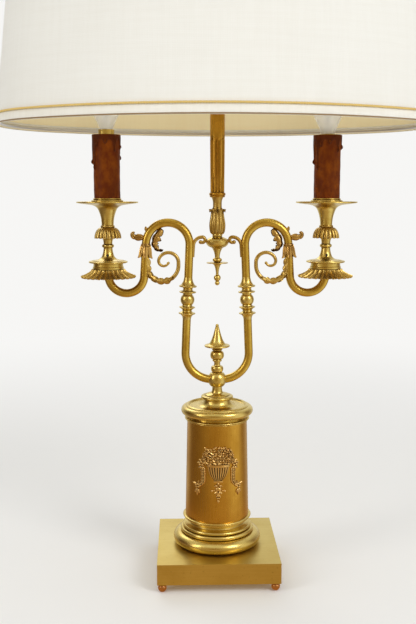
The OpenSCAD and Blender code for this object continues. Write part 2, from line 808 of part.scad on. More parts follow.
// A string of beads with fruit at its top and a tuft of leaves and a tassel at its foot
module garland(side) {
    top = relief_rise + urn_h + fruit_d / 2;
    beads = ceil(garland_l / (garland_bead_d * 0.8));
    foot_x = garland_x + garland_spread;
    for (i = [0:beads]) dot(side * (garland_x + garland_spread * pow(i / beads, 3)),
        top - garland_l * i / beads, garland_bead_d);
    for (i = [0, 1]) dot(side * (garland_x + i), top + fruit_d * (0.5 - i), fruit_d);
    for (x = [-1, 1])
        dot(side * foot_x + x * garland_bead_d / 2, top - garland_l, garland_bead_d * 1.3);
    for (i = [1:3]) dot(side * foot_x, top - garland_l - i * garland_bead_d * 0.7,
        garland_bead_d * 0.8);
}

// The urn's foot with the drop under it
module drop() {
    foot_t = garland_bead_d * 0.7;
    sizes = [0.6, 1, 1.1, 0.7, 0.5]; // the drop's swellings, as shares of a fruit
    step = (drop_l - foot_t - garland_bead_d) / (len(sizes) - 1);
    top = relief_rise - foot_t;
    translate([-urn_w * 0.2, top]) square([urn_w * 0.4, foot_t + overlap]);
    for (i = [0:len(sizes) - 1])
        dot(0, top - garland_bead_d / 2 - i * step, fruit_d * sizes[i]);
    for (x = [-1, 1], i = [0.8, 1.8])
        dot(x * garland_bead_d * i, top - 2.4 * step, garland_bead_d * 0.8);
}

module basket_relief() color(brass) translate([0, 0, drum_z]) {
    raised(urn_proud) urn_and_fruit();
    raised(garland_proud) {
        for (side = [-1, 1]) garland(side);
        drop();
    }
}

// ---- hub ----

module hub_ball() color(brass) {
    ball_z = hub_z - hub_h / 2;
    waist_z = hub_neck_z + hub_neck_h * 0.8;
    difference() {
        union() {
            turned(concat(
                level_to_upright([hub_neck_foot_d / 2, hub_neck_z], [hub_neck_d / 2, waist_z]),
                [[hub_neck_d / 2, ball_z + overlap]]));
            translate([0, 0, ball_z]) flat_ball(hub_d, hub_h);
        }
        bore(tie_hole_r, hub_neck_z, ball_z);
        bore(tie_rod_bore_d / 2, ball_z, hub_z);
        bore(spigot_r + slip_fit, baluster_z - spigot_l + overlap, baluster_z);
        for (side = ["left", "right"]) on_side(side)
            arc_rod(bend_c, bend_r, -90, -60, tube_r);
        translate([0, 0, hub_z]) rotate([0, 90, 0])
            cylinder(r = wire_d / 2 + slip_fit, h = 2 * (bend_start_x + overlap), center = true);
    }
}

module hub_baluster() color(brass) {
    collar_h = 1.1;
    low_z = collar_h + lower_ball_h;
    ring_z = baluster_h - 4.4 - upper_ball_h - 2.4;
    ring_h = 2.2;
    ball_z = baluster_h - 4.4 - upper_ball_h;
    neck_r = baluster_neck_d / 2;
    side_r = lower_ball_d / 2 * 0.8;
    top_r = upper_ball_d / 2 * 0.66;
    translate([0, 0, baluster_z]) {
        turned(concat(
            [[side_r, 0], [side_r, collar_h]],
            swell(side_r, collar_h, low_z, lower_ball_d / 2 - side_r),
            level_to_upright([side_r, low_z], [neck_r, low_z + 1.4]),
            [[neck_r, ring_z]],
            swell(baluster_ring_d / 2 - 0.8, ring_z, ring_z + ring_h, 0.8),
            swell(top_r, ball_z, ball_z + upper_ball_h, upper_ball_d / 2 - top_r),
            [[top_r, baluster_h - 3.6], [top_r, baluster_h]]));
        translate([0, 0, -spigot_l + overlap]) cylinder(r = spigot_r, h = spigot_l);
        translate([0, 0, baluster_h - overlap]) cylinder(r = spigot_r, h = spigot_l + overlap);
    }
}

module hub_finial() color(brass) {
    brim_h = 2;
    top_z = hat_h - hat_tip_d / 2;
    translate([0, 0, hat_z]) difference() {
        turned(concat(
            swell(hat_d / 2 - brim_h / 2, 0, brim_h, brim_h / 2),
            level_to_upright([hat_d / 2 - brim_h, brim_h], [hat_tip_d, hat_h * 0.62]),
            [[hat_tip_d / 2, top_z - hat_tip_d / 2]],
            arc([0, top_z], hat_tip_d / 2, 0, 80)));
        bore(spigot_r + slip_fit, 0, spigot_l);
    }
}

// ---- arms ----

module lower_path(r) {
    arc_rod(bend_c, bend_r, -90, leg_lean, r);
    straight_rod(leg_start, collar_start, r);
    rod_joints([leg_start], r);
}

module upper_path(r) {
    u_bend_end = [candle_x, u_bend_c[1]];
    straight_rod(collar_end, arch_start, r);
    arc_rod(arch_c, arch_r, 180 + leg_lean, outer_lean, r);
    straight_rod(outer_start, outer_end, r);
    arc_rod(u_bend_c, u_bend_r, 180 + outer_lean, 360, r);
    straight_rod(u_bend_end, [candle_x, cup_z], r);
    rod_joints([arch_start, outer_start, outer_end, u_bend_end], r);
}

module lower_arm(side) color(brass) on_side(side) difference() {
    lower_path(tube_r);
    lower_path(tube_bore_r);
}

// The turned stack between the two lengths of leg: flange, flange, ball, ring and flange
module arm_collars(side) color(brass) on_side(side) along(collar_start, leg_dir) {
    unit = collar_l / 42; // the stack's outline is drawn 42 mm long
    neck_r = tube_r + 0.5;
    rim_r = flange_d / 2;
    lip = 0.9; // thickness of the flanges' rims
    low1 = 6.2 * unit;
    low2 = 12.4 * unit;
    ball0 = 14.4 * unit;
    ball1 = 25 * unit;
    ring_z = 27.4 * unit;
    top_z = 33.2 * unit;
    ball_r = collar_ball_d / 2;
    ball_neck = ball_r * 0.68;
    difference() {
        turned(concat(
            upright_to_level([tube_r, 0], [rim_r - lip / 2, low1 - lip / 2]),
            [[rim_r, low1], [rim_r - lip, low1 + lip]],
            level_to_upright([rim_r - 2 * lip, low1 + lip / 2], [neck_r, low1 + 3 * lip]),
            upright_to_level([neck_r, low1 + 3.6 * lip], [rim_r - 1.4 * lip, low2 - lip / 2]),
            [[rim_r - lip / 2, low2], [rim_r - 1.5 * lip, low2 + lip]],
            swell(ball_neck, ball0, ball1, ball_r - ball_neck),
            [[neck_r, ball1], [neck_r, ring_z - lip], [rim_r - lip, ring_z - lip / 2]],
            [[rim_r, ring_z + lip / 2], [rim_r - lip, ring_z + 1.4 * lip]],
            [[neck_r, ring_z + 3.4 * lip], [neck_r, top_z - 1.4 * lip]],
            [[rim_r - lip, top_z - lip], [rim_r + lip / 3, top_z]],
            level_to_upright([rim_r - lip, top_z + lip / 2], [tube_r, collar_l])));
        bore(tube_bore_r, 0, collar_l);
    }
}

module upper_arm(side) color(brass) on_side(side) difference() {
    upper_path(tube_r);
    upper_path(tube_bore_r);
}

module arm_wires() color("black") for (side = ["left", "right"]) on_side(side) {
    r = wire_d / 2;
    arc_rod(bend_c, bend_r, -90, leg_lean, r);
    straight_rod(leg_start, arch_start, r);
    arc_rod(arch_c, arch_r, 180 + leg_lean, outer_lean, r);
    straight_rod(outer_start, outer_end, r);
    arc_rod(u_bend_c, u_bend_r, 180 + outer_lean, 360, r);
    rod_joints([leg_start, arch_start, outer_start, outer_end], r);
}

// A ring with a skirt of pointed leaves below it, round the top of each outer leg
module leaf_husks() color(brass) for (side = ["left", "right"]) on_side(side)
    along(outer_start, outer_dir) difference() {
        union() {
            turned(swell(husk_ring_d / 2 - husk_ring_h / 2, 0, husk_ring_h, husk_ring_h / 2));
            turned(concat([[tube_r + 0.4, husk_ring_h / 2]],
                swell(tube_r + 0.6, husk_ring_h, husk_l * 0.7, husk_d / 2 - tube_r - 1.4),
                [[husk_d / 2, husk_ring_h + husk_l], [tube_r, husk_ring_h + husk_l]]));
        }
        bore(tube_r, 0, husk_ring_h + husk_l);
        for (i = [0:husk_leaves - 1]) rotate([0, 0, 360 * (i + 0.5) / husk_leaves])
            translate([husk_d / 2, 0, husk_ring_h + husk_l])
                rotate([0, 45, 0]) cube([husk_d, husk_d * 0.3, husk_d * 0.55], center = true);
    }

// The C-scroll with the leaf along its lower turn, cut to the leg that carries it
module scroll(side) color(brass) on_side(side) difference() {
    r1 = scroll_d / 2;
    r3 = scroll_end_d / 2;
    r2 = (r1 + r3) / 2;
    root = scroll_c1 + scroll_r1 * [cos(scroll_root_a), sin(scroll_root_a)];
    root_dir = [-sin(scroll_root_a), cos(scroll_root_a)];
    left1 = scroll_c1 - [scroll_r1, 0];
    left2 = scroll_c2 - [scroll_r2, 0];
    turn = scroll_c2 + scroll_r2 * [cos(scroll_turn_a), sin(scroll_turn_a)];
    tail = scroll_c3 + scroll_r3 * [cos(scroll_end_a), sin(scroll_end_a)];
    union() {
        straight_rod(root, root + scroll_root_l * root_dir, r1);
        arc_rod(scroll_c1, scroll_r1, -180, scroll_root_a, r1);
        straight_rod(left1, left2, r2);
        arc_rod(scroll_c2, scroll_r2, scroll_turn_a, 180, r2);
        arc_rod(scroll_c3, scroll_r3, scroll_end_a, scroll_turn_a, r3);
        rod_joints([root, left1], r1);
        rod_joints([left2, turn], r2);
        knob(tail, scroll_knob_d / 2);
        scroll_leaf();
    }
    upper_path(tube_r);
}

// A serrated leaf plate that wraps the scroll's lower turn
module scroll_leaf() {
    lobes = 5;
    leaf_a0 = -100;
    leaf_a1 = scroll_root_a - 10;
    step = (leaf_a1 - leaf_a0) / lobes;
    translate([0, leaf_t / 2, 0]) rotate([90, 0, 0]) linear_extrude(leaf_t)
        polygon(concat(
            [for (i = [0:lobes * 2]) let (a = leaf_a0 + step * i / 2,
                r = scroll_r1 + scroll_d / 2 + (i % 2 == 0 ? 0.1 : 1.8))
                scroll_c1 + r * [cos(a), sin(a)]],
            [for (i = [lobes:-1:0]) let (a = leaf_a0 + step * i)
                scroll_c1 + (scroll_r1 - scroll_d / 2 - 0.4) * [cos(a), sin(a)]]));
}

// The leaf lobes that curl away from each arch, cut to the tube
module arch_leaves() color(brass) for (side = ["left", "right"]) on_side(side) difference() {
    rim = arch_r + tube_r;
    translate([0, leaf_t / 2, 0]) rotate([90, 0, 0]) linear_extrude(leaf_t) {
        polygon(arch_point([[arch_r, 6], [rim, 8], [rim + 5, 5], [rim + 10, 8],
            [rim + 11.5, 14], [rim + 8, 21], [rim + 3, 23], [rim, 22], [arch_r, 24]]));
        polygon(arch_point([[arch_r, 33], [rim, 34], [rim + 2.6, 36], [rim + 2.8, 39],
            [rim + 0.4, 44], [arch_r, 47]]));
        polygon(arch_point([[arch_r, 44], [arch_r - 5, 52], [arch_r - 9, 60], [arch_r - 10, 40],
            [arch_r - 8, 32], [arch_r - 12, 22], [arch_r - 9, 14], [arch_r - 12, 0],
            [arch_r - 7, -4], [arch_r - 4, 6], [arch_r, 14]]));
    }
    upper_path(tube_r);
}

// Points given as [distance from the arch's centre, angle]
function arch_point(list) = [for (p = list) arch_c + p[0] * [cos(p[1]), sin(p[1])]];

// The small S-scrolls that join the legs to the bowl
module inner_brackets() color(brass) for (side = ["left", "right"]) on_side(side) difference() {
    r = bracket_d / 2;
    curl_c = [bowl_d / 2 + r + bracket_r2 - overlap, bowl_z + r / 2];
    turn_c = curl_c + [0, bracket_r2 - bracket_r1];
    curl_end_a = 330;
    union() {
        straight_rod(turn_c + [bracket_r1, -3 * bracket_d], turn_c + [bracket_r1, 0], r);
        arc_rod(turn_c, bracket_r1, 0, 90, r);
        arc_rod(curl_c, bracket_r2, 90, curl_end_a, r);
        rod_joints([turn_c + [bracket_r1, 0], turn_c + [0, bracket_r1]], r);
        knob(curl_c + bracket_r2 * [cos(curl_end_a), sin(curl_end_a)], r * 1.1);
    }
    upper_path(tube_r);
    centre_bowl_solid();
}

// ---- candles ----

module at_candle(side) on_side(side) translate([candle_x, 0, 0]) children();

module leaf_skirts() color(brass) for (side = ["left", "right"]) at_candle(side)
    translate([0, 0, cup_z]) difference() {
        top_r = skirt_top_d / 2;
        tip_r = skirt_d / 2;
        notch_r = PI * skirt_d / skirt_leaves / 4;
        turned(skirt_outline(top_r, tip_r, 0));
        translate([0, 0, -skirt_t])
            turned(skirt_outline(top_r - skirt_t, tip_r - skirt_t, overlap));
        bore(tube_r, -skirt_t, 0);
        for (i = [0:skirt_leaves - 1]) rotate([0, 0, 360 * i / skirt_leaves])
            translate([tip_r, 0, -skirt_h - overlap]) cylinder(r = notch_r, h = 3 * notch_r);
    }

// The skirt's flare: nearly upright under its top, then sweeping out to its tips
function skirt_outline(top_r, tip_r, extra) = concat(
    [[tip_r, -skirt_h - extra]],
    level_to_upright([tip_r, -skirt_h], [top_r, -skirt_t]),
    [[top_r - skirt_t / 2, 0]]);

module candle_cup(side) color(brass) at_candle(side) translate([0, 0, cup_z]) difference() {
    collar_r = cup_collar_d / 2;
    plate_r = cup_plate_d / 2;
    waist_r = cup_waist_d / 2;
    bead = 0.8; // rounding of the rims
    step_in = 2.8;
    plate_z = cup_collar_h;
    flare_z = plate_z + cup_plate_t;
    ring_z = flare_z + cup_flare_h;
    neck_z = ring_z + cup_ring_h;
    turned(concat(
        [[collar_r - bead, 0], [collar_r, bead], [collar_r, cup_collar_h - bead]],
        [[collar_r - bead, plate_z]],
        swell(plate_r - bead, plate_z, plate_z + cup_plate_t * 0.6, bead),
        [[plate_r - step_in, plate_z + cup_plate_t * 0.7], [plate_r - step_in, flare_z]],
        level_to_upright([2.2 * waist_r, flare_z + bead], [waist_r, ring_z - bead]),
        swell(waist_r + bead / 2, ring_z, neck_z, cup_ring_d / 2 - waist_r - bead / 2),
        upright_to_level([waist_r, neck_z], [waist_r + 2 * bead, cup_h])));
    bore(nipple_hole_r, 0, cup_h);
    translate([0, 0, set_screw_z - cup_z]) rotate([90, 0, 0]) cylinder(r = set_screw_r, h = plate_r);
}

set_screw_r = 0.9;
set_screw_z = cup_plate_z + cup_plate_t + cup_flare_h * 0.4;
set_screw_head_r = 1.2;

module cup_set_screws() color(brass) for (side = ["left", "right"]) at_candle(side)
    translate([0, 0, set_screw_z]) rotate([90, 0, 0]) {
        head_y = cup_waist_d * 0.71; // clear of the flare
        translate([0, 0, nipple_r]) cylinder(r = set_screw_r, h = head_y - nipple_r);
        translate([0, 0, head_y]) cylinder(r = set_screw_head_r, h = set_screw_r);
    }

// The fluted bell that hangs over each cup's neck, with its ring on top
module gadroon_bells() color(brass) for (side = ["left", "right"]) at_candle(side)
    translate([0, 0, bell_z]) difference() {
        mouth_r = bell_d / 2;
        groove_r = PI * bell_d / gadroons / 5;
        union() {
            turned(upright_to_level([mouth_r, 0], [vase_d / 2, bell_h]));
            translate([0, 0, bell_h - overlap / 2])
                turned(swell(vase_d / 2 + 0.1, 0, bell_ring_h + overlap / 2, 0.7));
        }
        bore(nipple_hole_r, 0, bell_h + bell_ring_h);
        for (i = [0:gadroons - 1]) rotate([0, 0, 360 * i / gadroons])
            translate([mouth_r + groove_r * 0.3, 0, -overlap]) rotate([0, -10, 0])
                cylinder(r = groove_r, h = bell_h * 0.85);
    }

module drip_pan(side) color(brass) at_candle(side) translate([0, 0, vase_z]) difference() {
    foot_r = vase_d / 2;
    mouth_r = foot_r * 1.6;
    pan_r = pan_d / 2;
    rim_r = pan_r * 0.84;
    ring_r = sleeve_ring_d / 2;
    under_z = vase_h - 3;
    bead = 0.6;
    turned(concat(
        upright_to_level([foot_r, 0], [mouth_r, under_z]),
        upright_to_level([mouth_r, under_z], [pan_r * 0.6, vase_h]),
        [[rim_r, vase_h + pan_rim_h * 0.6]],
        swell(pan_r - bead, vase_h + pan_rim_h * 0.6, vase_h + pan_rim_h * 0.6 + pan_t, bead),
        [[rim_r, vase_h + pan_rim_h + pan_t * 0.6], [rim_r - pan_t, vase_h + pan_rim_h]],
        [[rim_r - 2 * pan_t, vase_h + pan_t], [ring_r, vase_h + pan_t]],
        swell(ring_r - bead, vase_h + pan_t, vase_h + pan_t + sleeve_ring_h, bead)));
    bore(nipple_hole_r, 0, vase_h + pan_t);
    bore(sleeve_d / 2 + slip_fit, vase_h + pan_t + overlap, vase_h + pan_t + sleeve_ring_h);
}

module candle_nipples() color(brass) for (side = ["left", "right"]) at_candle(side) {
    z0 = cup_z - nipple_grip;
    z1 = sleeve_z + holder_foot_t + nipple_grip;
    translate([0, 0, z0]) difference() {
        cylinder(r = nipple_r, h = z1 - z0);
        bore(nipple_r - nipple_wall, 0, z1 - z0);
    }
}

module lampholder(side) color("ivory") at_candle(side) difference() {
    socket_z = holder_top - cap_thread_l - face_gap;
    translate([0, 0, sleeve_z]) cylinder(r = holder_d / 2, h = holder_top - sleeve_z);
    bore(nipple_hole_r, sleeve_z, sleeve_z + holder_foot_t + nipple_grip);
    bore(cap_thread_r + running_fit, socket_z + overlap, holder_top);
}

// A candle sleeve with wax that has run over its lip
module candle_sleeve(side) color(wax) at_candle(side) translate([0, 0, sleeve_z])
    difference() {
        r = sleeve_d / 2;
        drip_r = 1.7; // half the width of a run of wax
        // each run's angle round the sleeve, and its length as a share of the sleeve's height
        runs = [[-118, 0.16], [-70, 0.13], [-8, 0.2], [30, 0.36], [75, 0.22], [140, 0.3],
            [188, 0.4], [215, 0.14]];
        union() {
            cylinder(r = r, h = sleeve_h);
            for (run = runs) rotate([0, 0, run[0]])
                translate([r - drip_r * 0.4, 0, sleeve_h * (1 - run[1])]) {
                    cylinder(r = drip_r, h = sleeve_h * run[1] - drip_r / 2);
                    sphere(r = drip_r * 1.25);
                }
        }
        bore(r - sleeve_wall, 0, sleeve_h);
    }

// ---- bulbs ----

function bulb_base(side) = bulb_z + (side == "left" ? left_bulb_lift : 0);

// The bulb's outline: a neck in the cap, a belly and a drawn-out tip
function bulb_outline(inset) = let (r = bulb_d / 2 - inset, neck = cap_skirt_d / 2 - 1 - inset,
    belly = bulb_h * 0.42, top = bulb_h - inset)
    concat([[neck, -cap_skirt_h + glass_t]], [[neck, 0]],
        [for (i = [1:curve_steps]) let (t = i / curve_steps)
            [neck + (r - neck) * sin(90 * t), belly * t]],
        [for (i = [1:curve_steps]) let (t = i / curve_steps)
            [max(r * (cos(90 * t) + 0.16 * sin(180 * t)) * (1 - 0.12 * t), 0.4),
                belly + (top - belly) * t]]);

module bulb(side) color([0.9, 0.93, 0.95, 0.35]) at_candle(side)
    translate([0, 0, bulb_base(side)]) {
        neck_r = cap_skirt_d / 2 - 1;
        difference() {
            turned(bulb_outline(0));
            turned(concat([[neck_r - glass_t, -cap_skirt_h]], bulb_outline(glass_t)));
        }
        translate([0, 0, glass_t - cap_skirt_h]) {
            cylinder(r = neck_r, h = glass_t);
            cylinder(r = mount_r, h = mount_h);
        }
    }

mount_r = 2.4;
lead_r = 0.4;
lead_spread = 4;

// Two lead wires that leave the glass mount's top and carry the filament's loop
module filament(side) color(steel) at_candle(side)
    translate([0, 0, bulb_base(side) + glass_t - cap_skirt_h + mount_h]) {
        rise = bulb_h * 0.22;
        lean = atan2(lead_spread - mount_r / 2, rise);
        for (x = [-1, 1]) translate([x * mount_r / 2, 0, 0]) rotate([0, x * lean, 0])
            cylinder(r = lead_r, h = rise / cos(lean));
        translate([0, 0, rise]) rotate([90, 0, 0]) rotate_extrude(angle = 180)
            translate([lead_spread, 0]) circle(r = lead_r);
    }

module bulb_cap(side) color(brass) at_candle(side) translate([0, 0, bulb_base(side)]) {
    thread_z = -cap_skirt_h - cap_thread_l + 2 * overlap;
    difference() {
        union() {
            translate([0, 0, -cap_skirt_h]) cylinder(r = cap_skirt_d / 2, h = cap_skirt_h);
            translate([0, 0, thread_z]) cylinder(r = cap_thread_r, h = -cap_skirt_h - thread_z);
        }
        bore(cap_skirt_d / 2 - 1 + slip_fit, glass_t - cap_skirt_h + overlap, 0);
    }
    translate([0, 0, thread_z - overlap]) cylinder(r = cap_thread_r / 2, h = overlap);
}

// ---- centre stem ----

// Heights are from the bowl's widest line
module centre_bowl_solid() {
    r = bowl_d / 2;
    ring_r = bowl_ring_d / 2;
    ring_h = 3.4;
    shoulder_z = bowl_top_h - ring_h;
    under_z = -bowl_low_h * 0.45;
    under_r = bowl_ring_d * 0.55;
    translate([0, 0, bowl_z]) turned(concat(
        [[bowl_foot_d / 2, -bowl_low_h]],
        upright_to_level([bowl_foot_d / 2, -bowl_low_h], [under_r, under_z]),
        level_to_upright([under_r, under_z], [r, -1]),
        upright_to_level([r, 0.6], [ring_r + 0.6, shoulder_z]),
        swell(ring_r - 0.7, shoulder_z, bowl_top_h, 0.7)));
}

module centre_bowl() color(brass) difference() {
    centre_bowl_solid();
    bore(spigot_r + slip_fit, bowl_top_z - spigot_l + overlap, bowl_top_z);
    bore(pendant_stud_r + slip_fit, bowl_z - bowl_low_h, bowl_z - bowl_low_h + spigot_l);
}

pendant_stud_r = 1.2;

module pendant() color(brass) {
    disc_r = pendant_disc_d / 2;
    ring_r = bowl_foot_d / 2 + 2.2;
    ring_h = 5;
    disc_z = -ring_h - 1.8;
    cone_z = disc_z - 9;
    tip_z = -pendant_l;
    ball_r = pendant_ball_d / 2;
    tip_r = pendant_tip_d / 2;
    ball_z = tip_z + 2 * tip_r + ball_r - 0.8;
    translate([0, 0, bowl_z - bowl_low_h]) {
        turned(concat(
            arc([0, tip_z + tip_r], tip_r, -80, 55),
            arc([0, ball_z], ball_r, -62, 68),
            [[1.3, cone_z], [3, disc_z - 0.8], [disc_r * 0.5, disc_z - 0.6]],
            [[disc_r, disc_z + 0.4], [disc_r, disc_z + 1], [disc_r * 0.5, disc_z + 0.6]],
            [[3, disc_z + 0.8]],
            swell(ring_r - 1.6, -ring_h, -1.2, 1.6),
            [[bowl_foot_d / 2, -1], [bowl_foot_d / 2, 0]]));
        translate([0, 0, -overlap]) cylinder(r = pendant_stud_r, h = spigot_l + overlap);
    }
}

module leaf_baluster() color(brass) {
    r = leaf_baluster_d / 2;
    neck_r = stem_neck_d / 2;
    belly_z = leaf_baluster_h * 0.3;
    crown_r = r * 0.7;
    groove_r = 0.9;
    lobes = 8;
    translate([0, 0, leaf_z]) difference() {
        union() {
            turned(concat(
                [[bowl_ring_d / 2 - 0.4, 0]],
                [for (i = [0:curve_steps]) let (t = i / curve_steps)
                    [bowl_ring_d / 2 - 0.4 + (r - bowl_ring_d / 2 + 0.4) * sin(90 * t),
                        belly_z * t + 0.6]],
                [[r * 0.97, leaf_baluster_h * 0.44], [r * 0.85, leaf_baluster_h * 0.62]],
                [[crown_r, leaf_baluster_h * 0.8]],
                swell(crown_r - 0.6, leaf_baluster_h * 0.86, leaf_baluster_h, 1.1),
                [[neck_r, leaf_baluster_h + 0.4]],
                upright_to_level([neck_r, leaf_baluster_h + stem_neck_h * 0.6],
                    [stem_ring_d / 2 - 1.6, leaf_baluster_h + stem_neck_h])));
            translate([0, 0, -spigot_l + overlap]) cylinder(r = spigot_r, h = spigot_l);
        }
        bore(spigot_r + slip_fit, leaf_baluster_h + stem_neck_h - spigot_l + overlap,
            leaf_baluster_h + stem_neck_h);
        for (i = [0:lobes - 1]) rotate([0, 0, 360 * i / lobes])
            translate([r + groove_r * 0.2, 0, 1])
                rotate([0, -atan2(r - crown_r, leaf_baluster_h * 0.6), 0])
                    cylinder(r = groove_r, h = leaf_baluster_h * 0.88);
    }
}

module fluted_stem() color(brass) {
    ring_bead = 1;
    taper = atan2((stem_d2 - stem_d1) / 2, flute_l);
    translate([0, 0, stem_z]) difference() {
        union() {
            turned(swell(stem_ring_d / 2 - ring_bead, 0, stem_ring_h, ring_bead));
            translate([0, 0, stem_ring_h]) cylinder(r1 = stem_d1 / 2, r2 = stem_d2 / 2, h = flute_l);
            translate([0, 0, stem_ring_h + flute_l]) cylinder(r = stem_d2 / 2, h = plain_stem_l);
            translate([0, 0, -spigot_l + overlap]) cylinder(r = spigot_r, h = spigot_l);
        }
        bore(rod_r + slip_fit, stem_h - rod_socket + overlap, stem_h);
        for (i = [0:flutes - 1]) rotate([0, 0, 360 * (i + 0.5) / flutes])
            translate([stem_d1 / 2 + flute_d * 0.12, 0, stem_ring_h]) rotate([0, taper, 0]) {
                cylinder(r = flute_d / 2, h = flute_l - flute_d);
                translate([0, 0, flute_l - flute_d]) sphere(r = flute_d / 2);
            }
    }
}

module shade_rod() color(brass) {
    z0 = stem_top - rod_socket;
    translate([0, 0, z0]) cylinder(r = rod_r, h = rod_shoulder - z0);
    translate([0, 0, rod_shoulder - overlap])
        cylinder(r = finial_stud_r, h = finial_stud_l + overlap);
}

// ---- shade ----

// Sweeps a section, drawn as [distance beyond the shade's lower rim, height], round the oval.
// The oval has four arcs, whose centres lie on its axes as the corners of 3-4-5 triangles.
module round_oval() {
    for (turn = [0, 180]) rotate([0, 0, turn]) {
        oval_arc([3 * oval_unit, 0], shade_l / 2 - 3 * oval_unit, [[3, -4], [8, 0], [3, 4]])
            children();
        oval_arc([0, -4 * oval_unit], shade_w / 2 + 4 * oval_unit, [[3, 4], [0, 8], [-3, 4]])
            children();
    }
}

// The part of a full turn round c that lies in the wedge with the given directions
module oval_arc(c, r, wedge) {
    translate([c[0], c[1], shade_z]) intersection() {
        rotate_extrude() translate([r, 0]) children();
        translate([0, 0, -shade_h]) linear_extrude(3 * shade_h)
            polygon(concat([[0, 0]], shade_l * wedge));
    }
}

// How far the shade's outer face has moved in at height z
function slope_at(z) = -shade_slope * z / shade_h;

// A band of the shade's outline, from inner to outer distance beyond the skin's outer face
module oval_band(z0, z1, inner, outer) {
    round_oval() polygon([[slope_at(z0) + inner, z0], [slope_at(z0) + outer, z0],
        [slope_at(z1) + outer, z1], [slope_at(z1) + inner, z1]]);
}

// A hoop of round wire at height z, with its centreline beyond the skin's outer face
module oval_hoop(z, r, beyond) {
    round_oval() translate([slope_at(z) + beyond, z]) circle(r = r);
}

module shade_skin() color(linen) oval_band(0, shade_h, -shade_t, 0);

module shade_tapes() color("ivory") {
    oval_band(0, tape_h, 0, tape_t);
    oval_band(shade_h - tape_h, shade_h, 0, tape_t);
}

module gold_braid() color(brass) {
    oval_hoop(tape_h + braid_d / 2, braid_d / 2, braid_d / 2 + slip_fit);
}

// How far the middle of the frame's wire lies inside the skin's outer face
frame_r = wire_frame_d / 2;
hoop_in = -shade_t - frame_r - slip_fit - shade_slope / shade_h * 2 * frame_r;
hoop_z = shade_h - 2 * frame_r; // height of the upper hoop above the shade's lower rim

module shade_frame() color(steel) {
    oval_hoop(2 * frame_r, frame_r, hoop_in);
    oval_hoop(hoop_z, frame_r, hoop_in);
}

// The hub with the four spokes that are brazed to the upper hoop
module shade_spider() color(steel) difference() {
    braze = 0.2; // how far the spokes run into the hoop
    hub_mid = frame_hub_z + frame_hub_t / 2;
    hub_r = frame_hub_d / 2;
    foot = hub_r - frame_r;
    reach_x = shade_l / 2 + slope_at(hoop_z) + hoop_in;
    reach_y = shade_w / 2 + slope_at(hoop_z) + hoop_in;
    rise = shade_z + hoop_z - hub_mid;
    union() {
        translate([0, 0, frame_hub_z]) cylinder(r = hub_r, h = frame_hub_t);
        for (spoke = [[0, reach_x], [90, reach_y], [180, reach_x], [270, reach_y]])
            rotate([0, 0, spoke[0]]) translate([foot, 0, hub_mid])
                rotate([0, 90 - atan2(rise, spoke[1] - foot), 0])
                    cylinder(r = frame_r * 0.8, h = norm([rise, spoke[1] - foot]) - frame_r + braze);
    }
    bore(slide_r + running_fit, frame_hub_z, frame_hub_z + frame_hub_t);
}

module slide_sleeve() color(brass) difference() {
    union() {
        translate([0, 0, slide_z]) cylinder(r = slide_r, h = slide_top - slide_z);
        translate([0, 0, frame_hub_z - face_gap - seat_t]) cylinder(r = seat_d / 2, h = seat_t);
        translate([0, 0, thumb_z]) rotate([0, 90, 0])
            cylinder(r = 2 * thumb_r, h = slide_r + thumb_boss_l);
    }
    bore(rod_r + running_fit, slide_z, slide_top);
    translate([0, 0, thumb_z]) rotate([0, 90, 0])
        cylinder(r = thumb_r + running_fit, h = slide_r + thumb_boss_l + overlap);
}

module thumb_screw() color(brass) translate([0, 0, thumb_z]) rotate([0, 90, 0]) {
    tip = rod_r + face_gap;
    head = slide_r + thumb_boss_l + thumb_reach;
    translate([0, 0, tip]) cylinder(r = thumb_r, h = head - tip);
    translate([0, 0, head]) cylinder(r = thumb_head_d / 2, h = thumb_head_t);
}

module shade_ring_nut() color(brass) difference() {
    z0 = frame_hub_z + frame_hub_t + face_gap;
    translate([0, 0, z0]) cylinder(r = ring_nut_d / 2, h = ring_nut_h);
    bore(slide_r + slip_fit, z0, z0 + ring_nut_h);
}

module rod_finial() color(brass) translate([0, 0, rod_shoulder + face_gap]) difference() {
    r = finial_d / 2;
    foot_h = finial_h * 0.2;
    ball_z = finial_h * 0.3;
    top_z = finial_h * 0.85;
    turned(concat(
        [[r * 0.7, 0], [r * 0.75, foot_h / 2]],
        level_to_upright([r * 0.75, foot_h], [r * 0.45, ball_z]),
        swell(r * 0.45, ball_z, top_z, r * 0.55),
        arc([0, finial_h - r * 0.25], r * 0.25, -40, 80)));
    bore(finial_stud_r + running_fit, -face_gap, finial_stud_l - face_gap);
}

plinth();
ball_feet();
underside_plate();
base_weight();
cord_bushing();
column_foot();
drum_rings();
column_drum();
basket_relief();
column_cap();
neck_disc();
tie_rod();
tie_rod_nut();
hub_ball();
hub_baluster();
hub_finial();
lower_arm("left");  // left_lower_arm
lower_arm("right");  // right_lower_arm
arm_collars("left");  // left_arm_collars
arm_collars("right");  // right_arm_collars
upper_arm("left");  // left_upper_arm
upper_arm("right");  // right_upper_arm
leaf_husks();
scroll("left");  // left_scroll
scroll("right");  // right_scroll
arch_leaves();
inner_brackets();
arm_wires();
leaf_skirts();
candle_cup("left");  // left_candle_cup
candle_cup("right");  // right_candle_cup
gadroon_bells();
drip_pan("left");  // left_drip_pan
drip_pan("right");  // right_drip_pan
candle_nipples();
cup_set_screws();
lampholder("left");  // left_lampholder
lampholder("right");  // right_lampholder
candle_sleeve("left");  // left_candle_sleeve
candle_sleeve("right");  // right_candle_sleeve
bulb("left");  // left_bulb
bulb("right");  // right_bulb
bulb_cap("left");  // left_bulb_cap
bulb_cap("right");  // right_bulb_cap
filament("left");  // left_filament
filament("right");  // right_filament
pendant();
centre_bowl();
leaf_baluster();
fluted_stem();
shade_rod();
slide_sleeve();
thumb_screw();
shade_frame();
